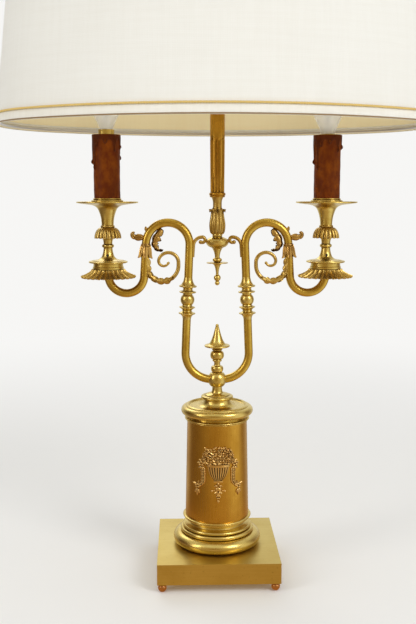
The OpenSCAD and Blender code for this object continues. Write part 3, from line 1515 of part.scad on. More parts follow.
shade_spider();
shade_skin();
shade_tapes();
gold_braid();
shade_ring_nut();
rod_finial();
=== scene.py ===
"""Dresses a two-candle bouillotte lamp: turned and cast brass, wax sleeves and an oval shade."""

import logging
import random
from dataclasses import dataclass, field, replace
from enum import Enum
from math import asin, atan2, cos, degrees, exp, hypot, pi, radians, sin, sqrt, tau
from typing import Callable, Iterable, Sequence

import bmesh
import bpy
from mathutils import Matrix, Vector
from mathutils.bvhtree import BVHTree


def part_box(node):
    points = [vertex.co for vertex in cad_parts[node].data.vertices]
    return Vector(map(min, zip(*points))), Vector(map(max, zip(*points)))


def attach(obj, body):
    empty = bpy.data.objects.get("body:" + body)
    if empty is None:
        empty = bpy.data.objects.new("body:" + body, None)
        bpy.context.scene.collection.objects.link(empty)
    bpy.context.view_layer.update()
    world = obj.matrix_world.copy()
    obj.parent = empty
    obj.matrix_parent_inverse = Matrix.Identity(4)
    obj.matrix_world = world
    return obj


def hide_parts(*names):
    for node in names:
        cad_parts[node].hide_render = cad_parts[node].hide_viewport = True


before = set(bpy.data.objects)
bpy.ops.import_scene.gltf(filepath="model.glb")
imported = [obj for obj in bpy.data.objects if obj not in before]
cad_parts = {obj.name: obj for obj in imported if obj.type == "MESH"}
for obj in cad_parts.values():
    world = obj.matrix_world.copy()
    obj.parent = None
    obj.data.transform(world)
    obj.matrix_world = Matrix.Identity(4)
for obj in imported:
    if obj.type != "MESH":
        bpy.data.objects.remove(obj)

log = logging.getLogger("lamp")

MM = 0.001
ROUND = 96  # steps of a full turn
CURVE = 12  # steps of a quarter curve of a turned outline
SWELL = 24  # steps of a half-round swell
MERGE = 0.001  # points closer than this are one, in millimetres
RAYS = 7  # looks that each point takes round itself for what shuts it in
CLEAR = 0.08  # how far over the skin each look starts, in millimetres
CONTRAST = 1.6  # how strongly a bend of the skin shows in the masks
# painted shade: how strongly what shuts a point in darkens it
OCCLUSION_SHADE = 1.5  # how strongly what shuts a point in shows there
HERE = Matrix.Identity(4)
Point = tuple[float, float]
Triple = tuple[float, float, float]
Colour = Triple
Stop = tuple[float, Colour]
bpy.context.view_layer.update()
PIECES: list[bpy.types.Object] = []  # the new pieces, in the order of their making


# ---------------------------------------------------------------- shader maths


class Value:
    """A shader socket that takes part in arithmetic."""

    def __init__(self, paint: "Paint", socket: bpy.types.NodeSocket) -> None:
        """Keeps the paint that the socket belongs to, and the socket."""
        self.paint, self.socket = paint, socket

    def math(self, operation: str, other: "Value | float") -> "Value":
        """Adds a Math node for this value and the other."""
        return self.paint.node("Math", {0: self, 1: other}, operation=operation)

    def __add__(self, other: "Value | float") -> "Value":
        """This value plus the other."""
        return self.math("ADD", other)

    def __sub__(self, other: "Value | float") -> "Value":
        """This value less the other."""
        return self.math("SUBTRACT", other)

    def __mul__(self, other: "Value | float") -> "Value":
        """This value times the other."""
        return self.math("MULTIPLY", other)

    def __truediv__(self, other: float) -> "Value":
        """This value over the other."""
        return self.math("DIVIDE", other)

    __radd__, __rmul__ = __add__, __mul__

    def span(self, low: float, high: float) -> "Value":
        """Maps low to 0 and high to 1, smoothly, and holds it there."""
        ends = {0: self, 1: low, 2: high}
        return self.paint.node("MapRange", ends, interpolation_type="SMOOTHSTEP", clamp=True)


class Paint:
    """Builds the nodes of one material or world."""

    def __init__(self, owner: bpy.types.Material | bpy.types.World) -> None:
        """Empties the owner's node tree and takes it over."""
        owner.use_nodes = True
        self.tree = owner.node_tree
        self.tree.nodes.clear()

    def node(self, kind: str, inputs: dict[int | str, object] | None = None,
             out: int | str = 0, **settings: object) -> Value:
        """Adds a node.

        Args:
            kind: the node's type, without the prefix of all shader nodes.
            inputs: a value or link for each of its sockets.
            out: which output to return.
            **settings: its properties.

        Returns:
            That output.
        """
        made = self.tree.nodes.new("ShaderNode" + kind)
        for name, value in settings.items():
            setattr(made, name, value)
        for name, value in (inputs or {}).items():
            if isinstance(value, Value):
                self.tree.links.new(value.socket, made.inputs[name])
            else:
                made.inputs[name].default_value = value
        return Value(self, made.outputs[out] if made.outputs else made.inputs[0])

    def place(self, finer: Colour = (1, 1, 1)) -> Value:
        """Object coordinates, with the pattern so much finer along each axis."""
        coords = self.node("TexCoord", out="Object")
        return self.node("Mapping", {"Vector": coords, "Scale": finer})

    def noise(self, where: Value, scale: float, detail: float, rough: float) -> Value:
        """Fractal noise from 0 to 1: its grains in a metre, its octaves and their strength."""
        inputs = {"Vector": where, "Scale": scale, "Detail": detail, "Roughness": rough}
        return self.node("TexNoise", inputs)

    def mix(self, share: "Value | float", a: "Value | Colour", b: "Value | Colour") -> Value:
        """Mixes two colours, with that share of b."""
        a, b = (c if isinstance(c, Value) else (*c, 1.0) for c in (a, b))
        return self.node("Mix", {0: share, 6: a, 7: b}, out=2, data_type="RGBA")

    def mask(self, name: str) -> Value:
        """One of the masks that each new piece carries on its points."""
        return self.node("Attribute", out="Fac", attribute_name=name)

    def ramp(self, share: Value, stops: Sequence[Stop]) -> Value:
        """A colour ramp.

        Args:
            share: where the colour is taken, from 0 to 1.
            stops: the position and colour of each stop, lowest first.

        Returns:
            The colour.
        """
        made = self.node("ValToRGB", {"Fac": share})
        elements = made.socket.node.color_ramp.elements
        while len(elements) < len(stops):
            elements.new(1.0)
        for element, (place, colour) in zip(elements, stops):
            element.position, element.color = place, (*colour, 1.0)
        return made

    def rays(self) -> list[Value]:
        """Whether a ray comes from the camera, from a mirror or through a clear thing."""
        kinds = ("Camera", "Glossy", "Transmission")
        return [self.node("LightPath", out=f"Is {kind} Ray") for kind in kinds]

    def bump(self, height: Value, depth: float, strength: float) -> Value:
        """A normal bumped by a relief from 0 to 1 that is so many metres deep."""
        inputs = {"Strength": strength, "Distance": depth, "Height": height}
        return self.node("Bump", inputs, out="Normal")

    def skin(self, **sockets: object) -> None:
        """Ends the material in a Principled shader, with _ for each space in an input's name."""
        inputs = {name.replace("_", " "): value for name, value in sockets.items()}
        self.node("OutputMaterial", {"Surface": self.node("BsdfPrincipled", inputs)})


# ---------------------------------------------------------------- finishes


@dataclass(frozen=True)
class Finish:
    """A finish that a piece can take."""

    name: str
    slot: str

    def material(self) -> bpy.types.Material:
        """The finish's material, made at its first use."""
        made = bpy.data.materials.get(self.name)
        if made is None:
            made = bpy.data.materials.new(self.name)
            self.draw(Paint(made))
        return made

    def draw(self, paint: Paint) -> None:
        """Builds the material's nodes; each kind of finish has its own."""
        raise NotImplementedError


@dataclass(frozen=True)
class Brass(Finish):
    """Old brass with brushing marks and specks: painted shade darkens its hollows and crevices,
    and its ridges are lighter, partly rubbed wear and partly painted highlight.
    """

    bright: Colour = (0.74, 0.58, 0.2)
    aged: Colour = (0.52, 0.36, 0.08)
    # hollow: the colour of the painted shade in hollows and crevices, and of the specks
    hollow: Colour = (0.075, 0.028, 0.004)
    roughness: float = 0.27
    brushing: Colour = (1, 1, 1)
    brush_depth: float = 0.00002
    age: float = 0.6

    def draw(self, paint: Paint) -> None:
        """Builds the brass.

        Args:
            paint: the material to build it in.
        """
        plain = paint.place()
        cloud = paint.noise(plain, 26, 4, 0.6).span(0.32, 0.72)
        speck = paint.noise(plain, 420, 3, 0.7).span(0.6, 0.78)
        stroke = paint.noise(paint.place(self.brushing), 90, 4, 0.65)
        hollow, ridge = paint.mask("hollow"), paint.mask("ridge")
        body = paint.mix(cloud * self.age + stroke.span(0.35, 0.7) * 0.3, self.bright, self.aged)
        spotted = paint.mix(speck * 0.35, body, self.hollow)
        # painted shade: the hollow mask darkens the hollows and crevices
        dark = paint.mix(hollow.span(0.06, 0.75), spotted, self.hollow)
        # lighter ridges: partly rubbed wear, partly painted highlight
        rubbed_and_lit = paint.mix(ridge.span(0.1, 0.8) * 0.45, dark, self.bright)
        rough = self.roughness + stroke * 0.1 + cloud * 0.06 + hollow * 0.3 + speck * 0.12
        paint.skin(
            Base_Color=rubbed_and_lit,
            Metallic=1.0,
            Roughness=rough,
            Normal=paint.bump(stroke + speck * 0.5, self.brush_depth, 0.5),
        )


@dataclass(frozen=True)
class Plain(Finish):
    """A plain hard material: steel, iron, plastic or paint, with grain and wear."""

    light: Colour = (0.5, 0.5, 0.5)
    dark: Colour = (0.3, 0.3, 0.3)
    metallic: float = 0.0
    roughness: float = 0.5
    grain: float = 300
    grain_depth: float = 0.00004

    def draw(self, paint: Paint) -> None:
        """Builds the material.

        Args:
            paint: the material to build it in.
        """
        grain = paint.noise(paint.place(), self.grain, 4, 0.6)
        cloud = paint.noise(paint.place(), 45, 3, 0.5)
        colour = paint.mix(grain.span(0.35, 0.7) * 0.6 + cloud * 0.4, self.light, self.dark)
        paint.skin(
            Base_Color=colour,
            Metallic=self.metallic,
            Roughness=self.roughness + grain * 0.12,
            Normal=paint.bump(grain, self.grain_depth, 0.6),
        )


@dataclass(frozen=True)
class Wax(Finish):
    """Brown wax: mottled, darker where it ran down in a thick layer, with painted shade in its
    hollows and a painted highlight that lightens its ridges.
    """

    light: Colour = (0.22, 0.05, 0.0005)
    dark: Colour = (0.12, 0.02, 0.0005)
    run: Colour = (0.06, 0.009, 0.0005)

    def draw(self, paint: Paint) -> None:
        """Builds the wax.

        Args:
            paint: the material to build it in.
        """
        blotch = paint.noise(paint.place((1, 1, 0.7)), 130, 5, 0.65)
        grain = paint.noise(paint.place(), 700, 3, 0.6)
        # the hollow mask: how thick the wax lies, with painted shade in the skin's hollows
        thick = paint.mask("hollow").span(0.0, 0.8)
        ridge = paint.mask("ridge").span(0.05, 0.5)
        body = paint.mix(blotch.span(0.34, 0.68), self.dark, self.light)
        laid = paint.mix(thick * 0.8, body, self.run)
        paint.skin(
            # ridges lighter: painted highlight
            Base_Color=paint.mix(ridge * 0.35, laid, self.light),
            Roughness=0.42 + blotch * 0.2 - ridge * 0.1,
            Specular_IOR_Level=0.1,
            Coat_Weight=0.03 + ridge * 0.1,
            Coat_Roughness=0.25,
            Normal=paint.bump(blotch + grain * 0.5, 0.00025, 0.7),
        )


@dataclass(frozen=True)
class Glass(Finish):
    """Clear glass with a faint film of dust."""

    def draw(self, paint: Paint) -> None:
        """Builds the glass.

        Args:
            paint: the material to build it in.
        """
        dust = paint.noise(paint.place(), 160, 4, 0.7).span(0.5, 0.8)
        paint.skin(
            Base_Color=paint.mix(dust * 0.1, (0.985, 0.99, 0.985), (0.93, 0.93, 0.9)),
            Roughness=dust * 0.05,
            IOR=1.45,
            Transmission_Weight=1.0,
            Alpha=0.06,
        )


@dataclass(frozen=True)
class Cloth(Finish):
    """Plain-woven cloth, with its weave along the piece's own UV map in metres."""

    light: Colour = (0.83, 0.82, 0.775)
    dark: Colour = (0.77, 0.75, 0.69)
    threads: float = 1400
    slub: float = 0.3
    depth: float = 0.00006
    sheen: float = 0.15

    def draw(self, paint: Paint) -> None:
        """Builds the cloth.

        Args:
            paint: the material to build it in.
        """
        lie = paint.node("UVMap", uv_map="cloth")
        thread = {"Vector": lie, "Scale": self.threads / tau, "Distortion": 0.6,
                  "Detail": 1.0, "Detail Scale": 0.4}
        waves = [paint.node("TexWave", thread, out="Fac", bands_direction=way, wave_profile="SIN")
                 for way in "XY"]
        slubs = [paint.noise(paint.node("Mapping", {"Vector": lie, "Scale": scale}), 1.0, 3, 0.6)
                 for scale in ((14, 260, 1), (260, 14, 1))]
        slub = (slubs[0] + slubs[1]) * 0.5
        weave = (waves[0] + waves[1]) * 0.5
        soil = paint.noise(paint.place(), 9, 3, 0.5).span(0.35, 0.75)
        tone = slub.span(0.36, 0.64) * self.slub + weave * 0.25 + soil * 0.2
        paint.skin(
            Base_Color=paint.mix(tone, self.light, self.dark),
            Roughness=0.82 + weave * 0.1,
            Sheen_Weight=self.sheen,
            Sheen_Roughness=0.5,
            Normal=paint.bump(weave + slub * 1.5, self.depth, 0.6),
        )


# The hollow colour of each brass is the colour of its painted shade.
CAST = Brass("cast_brass", "satin_brass", bright=(0.7, 0.52, 0.18), aged=(0.44, 0.27, 0.055),
             roughness=0.27, brush_depth=0.00004, age=0.75)
DULL = Brass("dull_cast_brass", "satin_brass", bright=(0.7, 0.48, 0.17), aged=(0.36, 0.19, 0.045),
             hollow=(0.03, 0.009, 0.0015), roughness=0.24, brush_depth=0.00003, age=0.85)
TURNED = Brass("turned_brass", "polished_brass", brushing=(1, 1, 9), age=0.5, roughness=0.19,
               brush_depth=0.000008)
TUBE = Brass("tube_brass", "polished_brass", bright=(0.74, 0.54, 0.12), aged=(0.5, 0.31, 0.045),
             roughness=0.22, brush_depth=0.000015, age=0.7)
PLATE = Brass("plate_brass", "satin_brass", bright=(0.62, 0.48, 0.15), aged=(0.52, 0.37, 0.09),
              brushing=(0.35, 9, 9), roughness=0.27, age=0.6)
DRUM = Brass("drum_brass", "satin_brass", bright=(0.6, 0.34, 0.055), aged=(0.44, 0.22, 0.025),
             brushing=(9, 9, 0.3), roughness=0.2, age=0.7, brush_depth=0.00001)
ORNAMENT = Brass("ornament_brass", "satin_brass", bright=(0.78, 0.52, 0.2),
                 aged=(0.52, 0.29, 0.08), hollow=(0.06, 0.018, 0.003), roughness=0.24,
                 brush_depth=0.00004)
FEET = Brass("feet_brass", "satin_brass", bright=(0.6, 0.3, 0.12), aged=(0.38, 0.15, 0.05),
             roughness=0.2, age=0.8)
IRON = Plain("cast_iron", "iron", (0.09, 0.09, 0.095), (0.045, 0.045, 0.05), 0.6, 0.6, 260,
             0.0002)
STEEL = Plain("steel", "steel", (0.6, 0.6, 0.61), (0.42, 0.42, 0.43), 1.0, 0.32)
DARK_STEEL = Plain("dark_steel", "steel", (0.05, 0.045, 0.04), (0.03, 0.025, 0.02), 0.6, 0.5)
WHITE_PAINT = Plain("white_enamel", "steel", (0.8, 0.78, 0.72), (0.7, 0.67, 0.6), 0.0, 0.35)
BLACK_PLASTIC = Plain("black_plastic", "black_plastic", (0.03, 0.03, 0.03),
                      (0.018, 0.018, 0.018), 0.0, 0.45)
WIRE = Plain("wire_cover", "wire", (0.05, 0.05, 0.05), (0.03, 0.03, 0.03), 0.0, 0.5)
IVORY = Plain("ivory_plastic", "ivory_plastic", (0.82, 0.74, 0.52), (0.74, 0.63, 0.4), 0.0, 0.4)
TUNGSTEN = Plain("filament_wire", "filament", (0.4, 0.4, 0.42), (0.26, 0.26, 0.28), 1.0, 0.35)
WAX = Wax("brown_wax", "wax")
GLASS = Glass("clear_glass", "clear_glass")
SHADE_CLOTH = Cloth("shade_cloth", "linen")
LINING = Cloth("shade_lining", "linen", light=(0.96, 0.86, 0.58), dark=(0.92, 0.79, 0.5),
               slub=0.35)
TAPE = Cloth("edge_tape", "tape", light=(0.86, 0.84, 0.78), dark=(0.74, 0.7, 0.6),
             threads=2200)
PIPING = Cloth("rim_piping", "tape", light=(0.3, 0.2, 0.09), dark=(0.2, 0.12, 0.05), threads=2600)
GOLD = Brass("gold_thread", "gold_thread", bright=(0.56, 0.36, 0.1), aged=(0.38, 0.21, 0.05),
             hollow=(0.1, 0.05, 0.012), roughness=0.36)


def placed(name: str, data: bpy.types.ID) -> bpy.types.Object:
    """Makes an object and puts it in the scene.

    Args:
        name: its name.
        data: its mesh, lamp or camera.

    Returns:
        The object.
    """
    made = bpy.data.objects.new(name, data)
    bpy.context.scene.collection.objects.link(made)
    return made


# ---------------------------------------------------------------- turned outlines


def turns(start: float, end: float, steps: int = CURVE) -> list[float]:
    """Evenly spaced angles from start to end, given in degrees and returned in radians."""
    return [radians(start + (end - start) * i / steps) for i in range(steps + 1)]


def swell(r: float, z0: float, z1: float, out: float) -> list[Point]:
    """A half-round swell from z0 to z1 that stands out beyond the radius r."""
    middle, half = (z0 + z1) / 2, (z1 - z0) / 2
    return [(r + out * cos(a), middle + half * sin(a)) for a in turns(-90, 90, SWELL)]


def hollow_out(p: Point, q: Point) -> list[Point]:
    """A quarter curve that leaves p upright and reaches q level."""
    x, z = q[0] - p[0], q[1] - p[1]
    return [(q[0] - x * cos(a), p[1] + z * sin(a)) for a in turns(0, 90)]


def hollow_up(p: Point, q: Point) -> list[Point]:
    """A quarter curve that leaves p level and reaches q upright."""
    x, z = q[0] - p[0], q[1] - p[1]
    return [(p[0] + x * sin(a), q[1] - z * cos(a)) for a in turns(0, 90)]


def arc(centre: Point, r: float, start: float, end: float) -> list[Point]:
    """An arc round a centre, from a first angle to a last one, in degrees from level."""
    x, z = centre
    return [(x + r * cos(a), z + r * sin(a)) for a in turns(start, end)]


def smooth(points: Sequence[Point], steps: int = 8) -> list[Point]:
    """A smooth line through a few points.

    Args:
        points: the points that it passes.
        steps: how many steps it takes between two of them.

    Returns:
        Its points.
    """
    line, last = [], len(points) - 1
    for i in range(last):
        p, q, r, s = (Vector(points[min(max(i + k, 0), last)]) for k in (-1, 0, 1, 2))
        for t in (j / steps for j in range(steps)):
            square, cube = 2 * p - 5 * q + 4 * r - s, 3 * q - p - 3 * r + s
            line.append(tuple(0.5 * (2 * q + (r - p) * t + square * t ** 2 + cube * t ** 3)))
    return line + [tuple(points[-1])]


def floor_of(node: str) -> float:
    """The lowest height of a CAD node, in millimetres."""
    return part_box(node)[0].z / MM


def top_of(node: str) -> float:
    """The greatest height of a CAD node, in millimetres."""
    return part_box(node)[1].z / MM


def heading(angle: float) -> Vector:
    """A direction in a plane, from its first axis towards its second."""
    return Vector((cos(radians(angle)), sin(radians(angle))))


def spot(x: float, y: float, z: float) -> Matrix:
    """A move to a place, in millimetres."""
    return Matrix.Translation((x, y, z))


def tilt(angle: float, axis: str) -> Matrix:
    """A turn about an axis, by an angle in degrees."""
    return Matrix.Rotation(radians(angle), 4, axis)


def stretch(x: float, y: float, z: float) -> Matrix:
    """A stretch along the three axes."""
    return Matrix.Diagonal((x, y, z, 1))


# ---------------------------------------------------------------- shapes


class Shape:
    """A mesh in millimetres that grows by Blender's operators."""

    def __init__(self) -> None:
        """Starts empty."""
        self.bm = bmesh.new()

    def turn(self, outline: Sequence[Point], steps: int = ROUND, place: Matrix | None = None,
             loop: bool = False) -> "Shape":
        """Turns an outline about Z.

        Args:
            outline: its points, as (radius, height).
            steps: how many steps the full turn has.
            place: where the turned form goes.
            loop: whether the outline closes on itself, as a tube's does.

        Returns:
            This shape.
        """
        bm, old = self.bm, set(self.bm.verts)
        if not loop:
            outline = [(0, outline[0][1]), *outline, (0, outline[-1][1])]
        verts = [bm.verts.new((r, 0, z)) for r, z in outline]
        pairs = list(zip(verts, verts[1:])) + ([(verts[-1], verts[0])] if loop else [])
        edges = [bm.edges.new(pair) for pair in pairs]
        bmesh.ops.spin(bm, geom=verts + edges, cent=(0, 0, 0), axis=(0, 0, 1), dvec=(0, 0, 0),
                       angle=tau, steps=steps, use_merge=True)
        if place is not None:
            new = [v for v in bm.verts if v not in old]
            bmesh.ops.transform(bm, matrix=place, verts=new)
        return self

    def ball(self, place: Matrix, detail: int = 2) -> None:
        """Adds a ball of radius 1, stretched and placed."""
        bmesh.ops.create_icosphere(self.bm, subdivisions=detail, radius=1, matrix=place)

    def block(self, size: Triple, place: Matrix, round_by: float) -> None:
        """Adds a block with rounded edges.

        Args:
            size: its three sides.
            place: where its middle goes.
            round_by: the radius of its edges.
        """
        made = bmesh.ops.create_cube(self.bm, size=1, matrix=place @ stretch(*size))["verts"]
        edges = list(dict.fromkeys(e for v in made for e in v.link_edges))
        bmesh.ops.bevel(self.bm, geom=edges, offset=round_by, offset_type="OFFSET", segments=2,
                        profile=0.5, affect="EDGES", material=-1)

    def add(self, other: "Shape", *places: Matrix) -> None:
        """Adds copies of another shape.

        Args:
            other: the shape to copy.
            *places: where each copy goes.
        """
        for place in places:
            mesh = bpy.data.meshes.new("copy")
            other.bm.to_mesh(mesh)
            mesh.transform(place)
            self.bm.from_mesh(mesh)
            bpy.data.meshes.remove(mesh)

    def move(self, place: Matrix) -> "Shape":
        """Moves the whole shape."""
        bmesh.ops.transform(self.bm, matrix=place, verts=self.bm.verts)
        return self

    def shift(self, rule: Callable[[Vector], Vector]) -> None:
        """Moves each point to where the rule puts it."""
        for v in self.bm.verts:
            v.co = rule(v.co)

    def mirror(self) -> None:
        """Adds this shape's mirror image on the other side of the lamp."""
        geom = [*self.bm.verts, *self.bm.edges, *self.bm.faces]
        bmesh.ops.mirror(self.bm, geom=geom, matrix=HERE, merge_dist=0.0, axis="X")

    def close(self) -> None:
        """Joins the points that meet and turns the faces outwards."""
        bmesh.ops.remove_doubles(self.bm, verts=self.bm.verts, dist=MERGE)
        bmesh.ops.recalc_face_normals(self.bm, faces=self.bm.faces)

    def thicken(self, thickness: float) -> None:
        """Gives a sheet its thickness."""
        self.close()
        bmesh.ops.solidify(self.bm, geom=list(self.bm.faces), thickness=thickness)

    def inside_out(self) -> None:
        """Turns a closed shell's faces inwards, as a hollow's are."""
        self.close()
        bmesh.ops.reverse_faces(self.bm, faces=self.bm.faces)

    def _shut_in(self, reach: float) -> list[float]:
        """How much the faces near each point shut it in.

        Args:
            reach: how far off a face still counts, in millimetres.

        Returns:
            The share of each point's view that they take.
        """
        tree, shares = BVHTree.FromBMesh(self.bm), []
        for v in self.bm.verts:
            side = v.normal.orthogonal().normalized()
            other = v.normal.cross(side)
            start, total = v.co + v.normal * CLEAR, 0.0
            for a in (tau * i / RAYS for i in range(RAYS)):
                way = v.normal * 0.6 + (side * cos(a) + other * sin(a)) * 0.8
                gone = tree.ray_cast(start, way, reach)[3]
                total += 0.0 if gone is None else 1 - gone / reach
            shares.append(total / RAYS)
        return shares

    def _masks(self, deep: Callable[[Vector], float] | None, occlusion_reach: float) -> None:
        """Writes the masks of hollows and ridges on the points, with painted shade where faces
        shut a point in.

        Args:
            deep: what else makes a point lie deep, from 0 to 1.
            occlusion_reach: how far the painted shade in its crevices reaches, in millimetres.
        """
        bm = self.bm
        bm.normal_update()
        shut = self._shut_in(occlusion_reach) if occlusion_reach else [0.0] * len(bm.verts)
        hollow = bm.verts.layers.float.new("hollow")
        ridge = bm.verts.layers.float.new("ridge")
        bend = {}
        for v in bm.verts:
            total = 0.0
            for e in v.link_edges:
                away = e.other_vert(v).co - v.co
                total += v.normal.dot(away) / max(away.length_squared, 0.01)
            bend[v] = total / max(len(v.link_edges), 1)
        for v, occlusion in zip(bm.verts, shut):
            near = [bend[e.other_vert(v)] for e in v.link_edges]
            mean = (bend[v] + sum(near)) / (1 + len(near))
            # painted shade: what shuts the point in deepens its hollow mask, which the finishes
            # darken
            extra = (deep(v.co) if deep else 0.0) + OCCLUSION_SHADE * occlusion
            v[hollow] = min(max(mean * CONTRAST, 0.0) + extra, 1.0)
            v[ridge] = min(max(-mean * CONTRAST, 0.0), 1.0)

    def piece(
        self, name: str, finish: Finish, replaces: Iterable[str] = (), body: str = "root",
        sharp: float = 38.0, edge: float = 0.0,
        deep: Callable[[Vector], float] | None = None, occlusion_reach: float = 0.0,
        recalc: bool = True,
    ) -> bpy.types.Object:
        """Makes the finished piece of this shape.

        Args:
            name: the piece's name.
            finish: its finish.
            replaces: the CAD nodes that it stands for.
            body: the CAD body that it moves with.
            sharp: the angle past which an edge stays sharp, in degrees.
            edge: how far the sharp edges are broken, in millimetres.
            deep: what makes a point lie deep, besides its own hollows.
            occlusion_reach: how far the painted shade of its crevices reaches, in millimetres.
            recalc: whether its faces are turned outwards here.

        Returns:
            The piece.
        """
        bm = self.bm
        bmesh.ops.remove_doubles(bm, verts=bm.verts, dist=MERGE)
        bmesh.ops.dissolve_degenerate(bm, edges=bm.edges, dist=MERGE / 2)
        stray = [e for e in bm.edges if not e.link_faces]
        bmesh.ops.delete(bm, geom=stray, context="EDGES")
        if recalc:
            bmesh.ops.recalc_face_normals(bm, faces=bm.faces)
        self._masks(deep, occlusion_reach)
        limit = radians(sharp)
        for face in bm.faces:
            face.smooth = True
        for e in bm.edges:
            e.smooth = len(e.link_faces) == 2 and e.calc_face_angle(0.0) < limit
        bmesh.ops.scale(bm, vec=(MM, MM, MM), verts=bm.verts)
        mesh = bpy.data.meshes.new(name)
        bm.to_mesh(mesh)
        bm.free()
        mesh.materials.append(finish.material())
        made = placed(name, mesh)
        if edge:
            trim = made.modifiers.new("edges", "BEVEL")
            trim.width, trim.segments = edge * MM, 2
            trim.limit_method, trim.angle_limit = "ANGLE", limit
            made.modifiers.new("shading", "WEIGHTED_NORMAL").keep_sharp = False
        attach(made, body)
        if replaces:
            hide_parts(*replaces)
        PIECES.append(made)
        return made


def turned(outline: Sequence[Point], name: str, node: str, place: Matrix | None = None,
           steps: int = ROUND, **how: float) -> None:
    """Turns a brass piece that stands for a CAD node, on the node's own foot if not placed."""
    foot = spot(0, 0, floor_of(node)) if place is None else place
    Shape().turn(outline, steps, foot).piece(name, TURNED, [node], **how)


class Rod:
    """A round rod drawn through the X-Z plane, ring by ring."""

    def __init__(self, shape: Shape, start: Point, heading: float, radius: float,
                 sides: int = 28) -> None:
        """Draws the first ring, closed by a face.

        Args:
            shape: the shape that the rod is drawn in.
            start: where its centre line starts.
            heading: its direction, in degrees from +X towards +Z.
            radius: its radius there.
            sides: how many sides it has.
        """
        self.bm, self.radius, self.heading = shape.bm, radius, heading
        self.at = Vector((start[0], 0, start[1]))
        place = Matrix.Translation(self.at) @ tilt(90 - heading, "Y")
        made = bmesh.ops.create_circle(self.bm, cap_ends=True, segments=sides, radius=radius,
                                       matrix=place)["verts"]
        self.edges = list(dict.fromkeys(e for v in made for e in v.link_edges))

    def _grow(self, move: Matrix, steps: int, radius: float | None) -> "Rod":
        """Draws more rings.

        Args:
            move: the move from each ring to the next.
            steps: how many rings.
            radius: the last ring's radius, where it changes.

        Returns:
            This rod.
        """
        first, last = self.radius, self.radius if radius is None else radius
        for i in range(steps):
            grown = bmesh.ops.extrude_edge_only(self.bm, edges=self.edges)["geom"]
            verts = [g for g in grown if isinstance(g, bmesh.types.BMVert)]
            kept = set(verts)
            self.edges = [g for g in grown
                          if isinstance(g, bmesh.types.BMEdge) and set(g.verts) <= kept]
            self.at = move @ self.at
            wide = first + (last - first) * (i + 1) / steps
            away = Matrix.Translation(self.at)
            size = away @ Matrix.Scale(wide / self.radius, 4) @ away.inverted()
            bmesh.ops.transform(self.bm, matrix=size @ move, verts=verts)
            self.radius = wide
        return self

    def bend(self, centre: Point, angle: float, steps: int = 24,
             radius: float | None = None) -> "Rod":
        """Bends the rod round a centre, from +X towards +Z, to a new radius where one is given."""
        self.heading, pin = self.heading + angle, spot(centre[0], 0, centre[1])
        return self._grow(pin @ tilt(-angle / steps, "Y") @ pin.inverted(), steps, radius)

    def run(self, length: float, steps: int = 1, radius: float | None = None) -> "Rod":
        """Runs the rod straight on, to a new radius where one is given."""
        a, far = radians(self.heading), length / steps
        return self._grow(spot(far * cos(a), 0, far * sin(a)), steps, radius)

    def close(self) -> None:
        """Closes the rod's end with a face."""
        bmesh.ops.edgeloop_fill(self.bm, edges=self.edges)


def pressed(columns: int, rows: int, rule: Callable[[float, float], Vector]) -> Shape:
    """Presses a flat grid into form.

    Args:
        columns: how many columns of faces it has.
        rows: how many rows.
        rule: places a point by its share of the length and its place across, from -1 to 1.

    Returns:
        The sheet.
    """
    made = Shape()
    bmesh.ops.create_grid(made.bm, x_segments=columns, y_segments=rows, size=1)
    made.shift(lambda co: rule((co.y + 1) / 2, co.x))
    return made


@dataclass(frozen=True)
class Leaf:
    """A cast leaf. Its rib starts at the origin along +Z, and its front faces +X.

    A rib that follows a line instead has its front on the line's right.
    """

    length: float
    width: float
    curl: float = 40.0
    tip_curl: float = 0.0
    cup: float = 0.18
    lobes: int = 0
    lobe_depth: float = 0.3
    vein: float = 0.25
    rib: float = 0.3
    root: float = 0.5
    widest: float = 0.5
    tip: float = 0.12
    ribs: int = 1
    line: tuple[Point, ...] = ()
    thick: float = 0.9
    rows: int = 16
    columns: int = 8

    def _width(self, u: float) -> float:
        """The leaf's half width.

        Args:
            u: the share of its length.

        Returns:
            The half width there.
        """
        if u < self.widest:
            share = self.root + (1 - self.root) * sin(pi / 2 * u / self.widest)
        else:
            t = (u - self.widest) / (1 - self.widest)
            share = self.tip + (1 - self.tip) * cos(pi / 2 * t) ** 0.8
        if self.lobes:
            share *= 1 - self.lobe_depth * (1 - self._beat(u) ** 0.7)
        return self.width / 2 * share

    def _beat(self, u: float, v: float = 0.0) -> float:
        """How far a point lies from the gap between two lobes, from 0 to 1."""
        return abs(sin(pi * self.lobes * (u * 0.98 + 0.02 - 0.05 * abs(v))))

    def shape(self) -> Shape:
        """Makes the leaf.

        Returns:
            Its shape, a closed shell.
        """
        rail = [(Vector((0, 0, 0)), 0.0)]
        fine = 60
        for i in range(fine):
            u = (i + 0.5) / fine
            late = max(0.0, (u - 0.6) / 0.4)
            turn = radians(self.curl * u + self.tip_curl * late ** 2)
            step = Vector((sin(turn), 0, cos(turn))) * (self.length / fine)
            rail.append((rail[-1][0] + step, turn))
        if self.line:
            ways = [along_line(smooth(self.line), i / fine) for i in range(fine + 1)]
            rail = [(Vector((at.x, 0, at.y)), atan2(left.y, -left.x)) for at, left in ways]

        def bent(u: float, v: float) -> Vector:
            """Places a point of the flat grid on the leaf."""
            foot, turn = rail[round(u * fine)]
            front = Vector((cos(turn), 0, -sin(turn)))
            half = self._width(u)
            lift = -self.cup * half * 2 * v * v
            if self.ribs > 1:
                lift += self.rib * abs(cos(pi * self.ribs * v / 2)) ** 0.7
            else:
                lift += self.rib * exp(-(v / 0.16) ** 2)
            if self.lobes:
                lift += self.vein * (self._beat(u, v) ** 0.6 - 0.6) * min(1, abs(v) * 2)
            return foot + front * lift + Vector((0, half * v, 0))

        made = pressed(self.columns, self.rows, bent)
        made.thicken(self.thick)
        return made


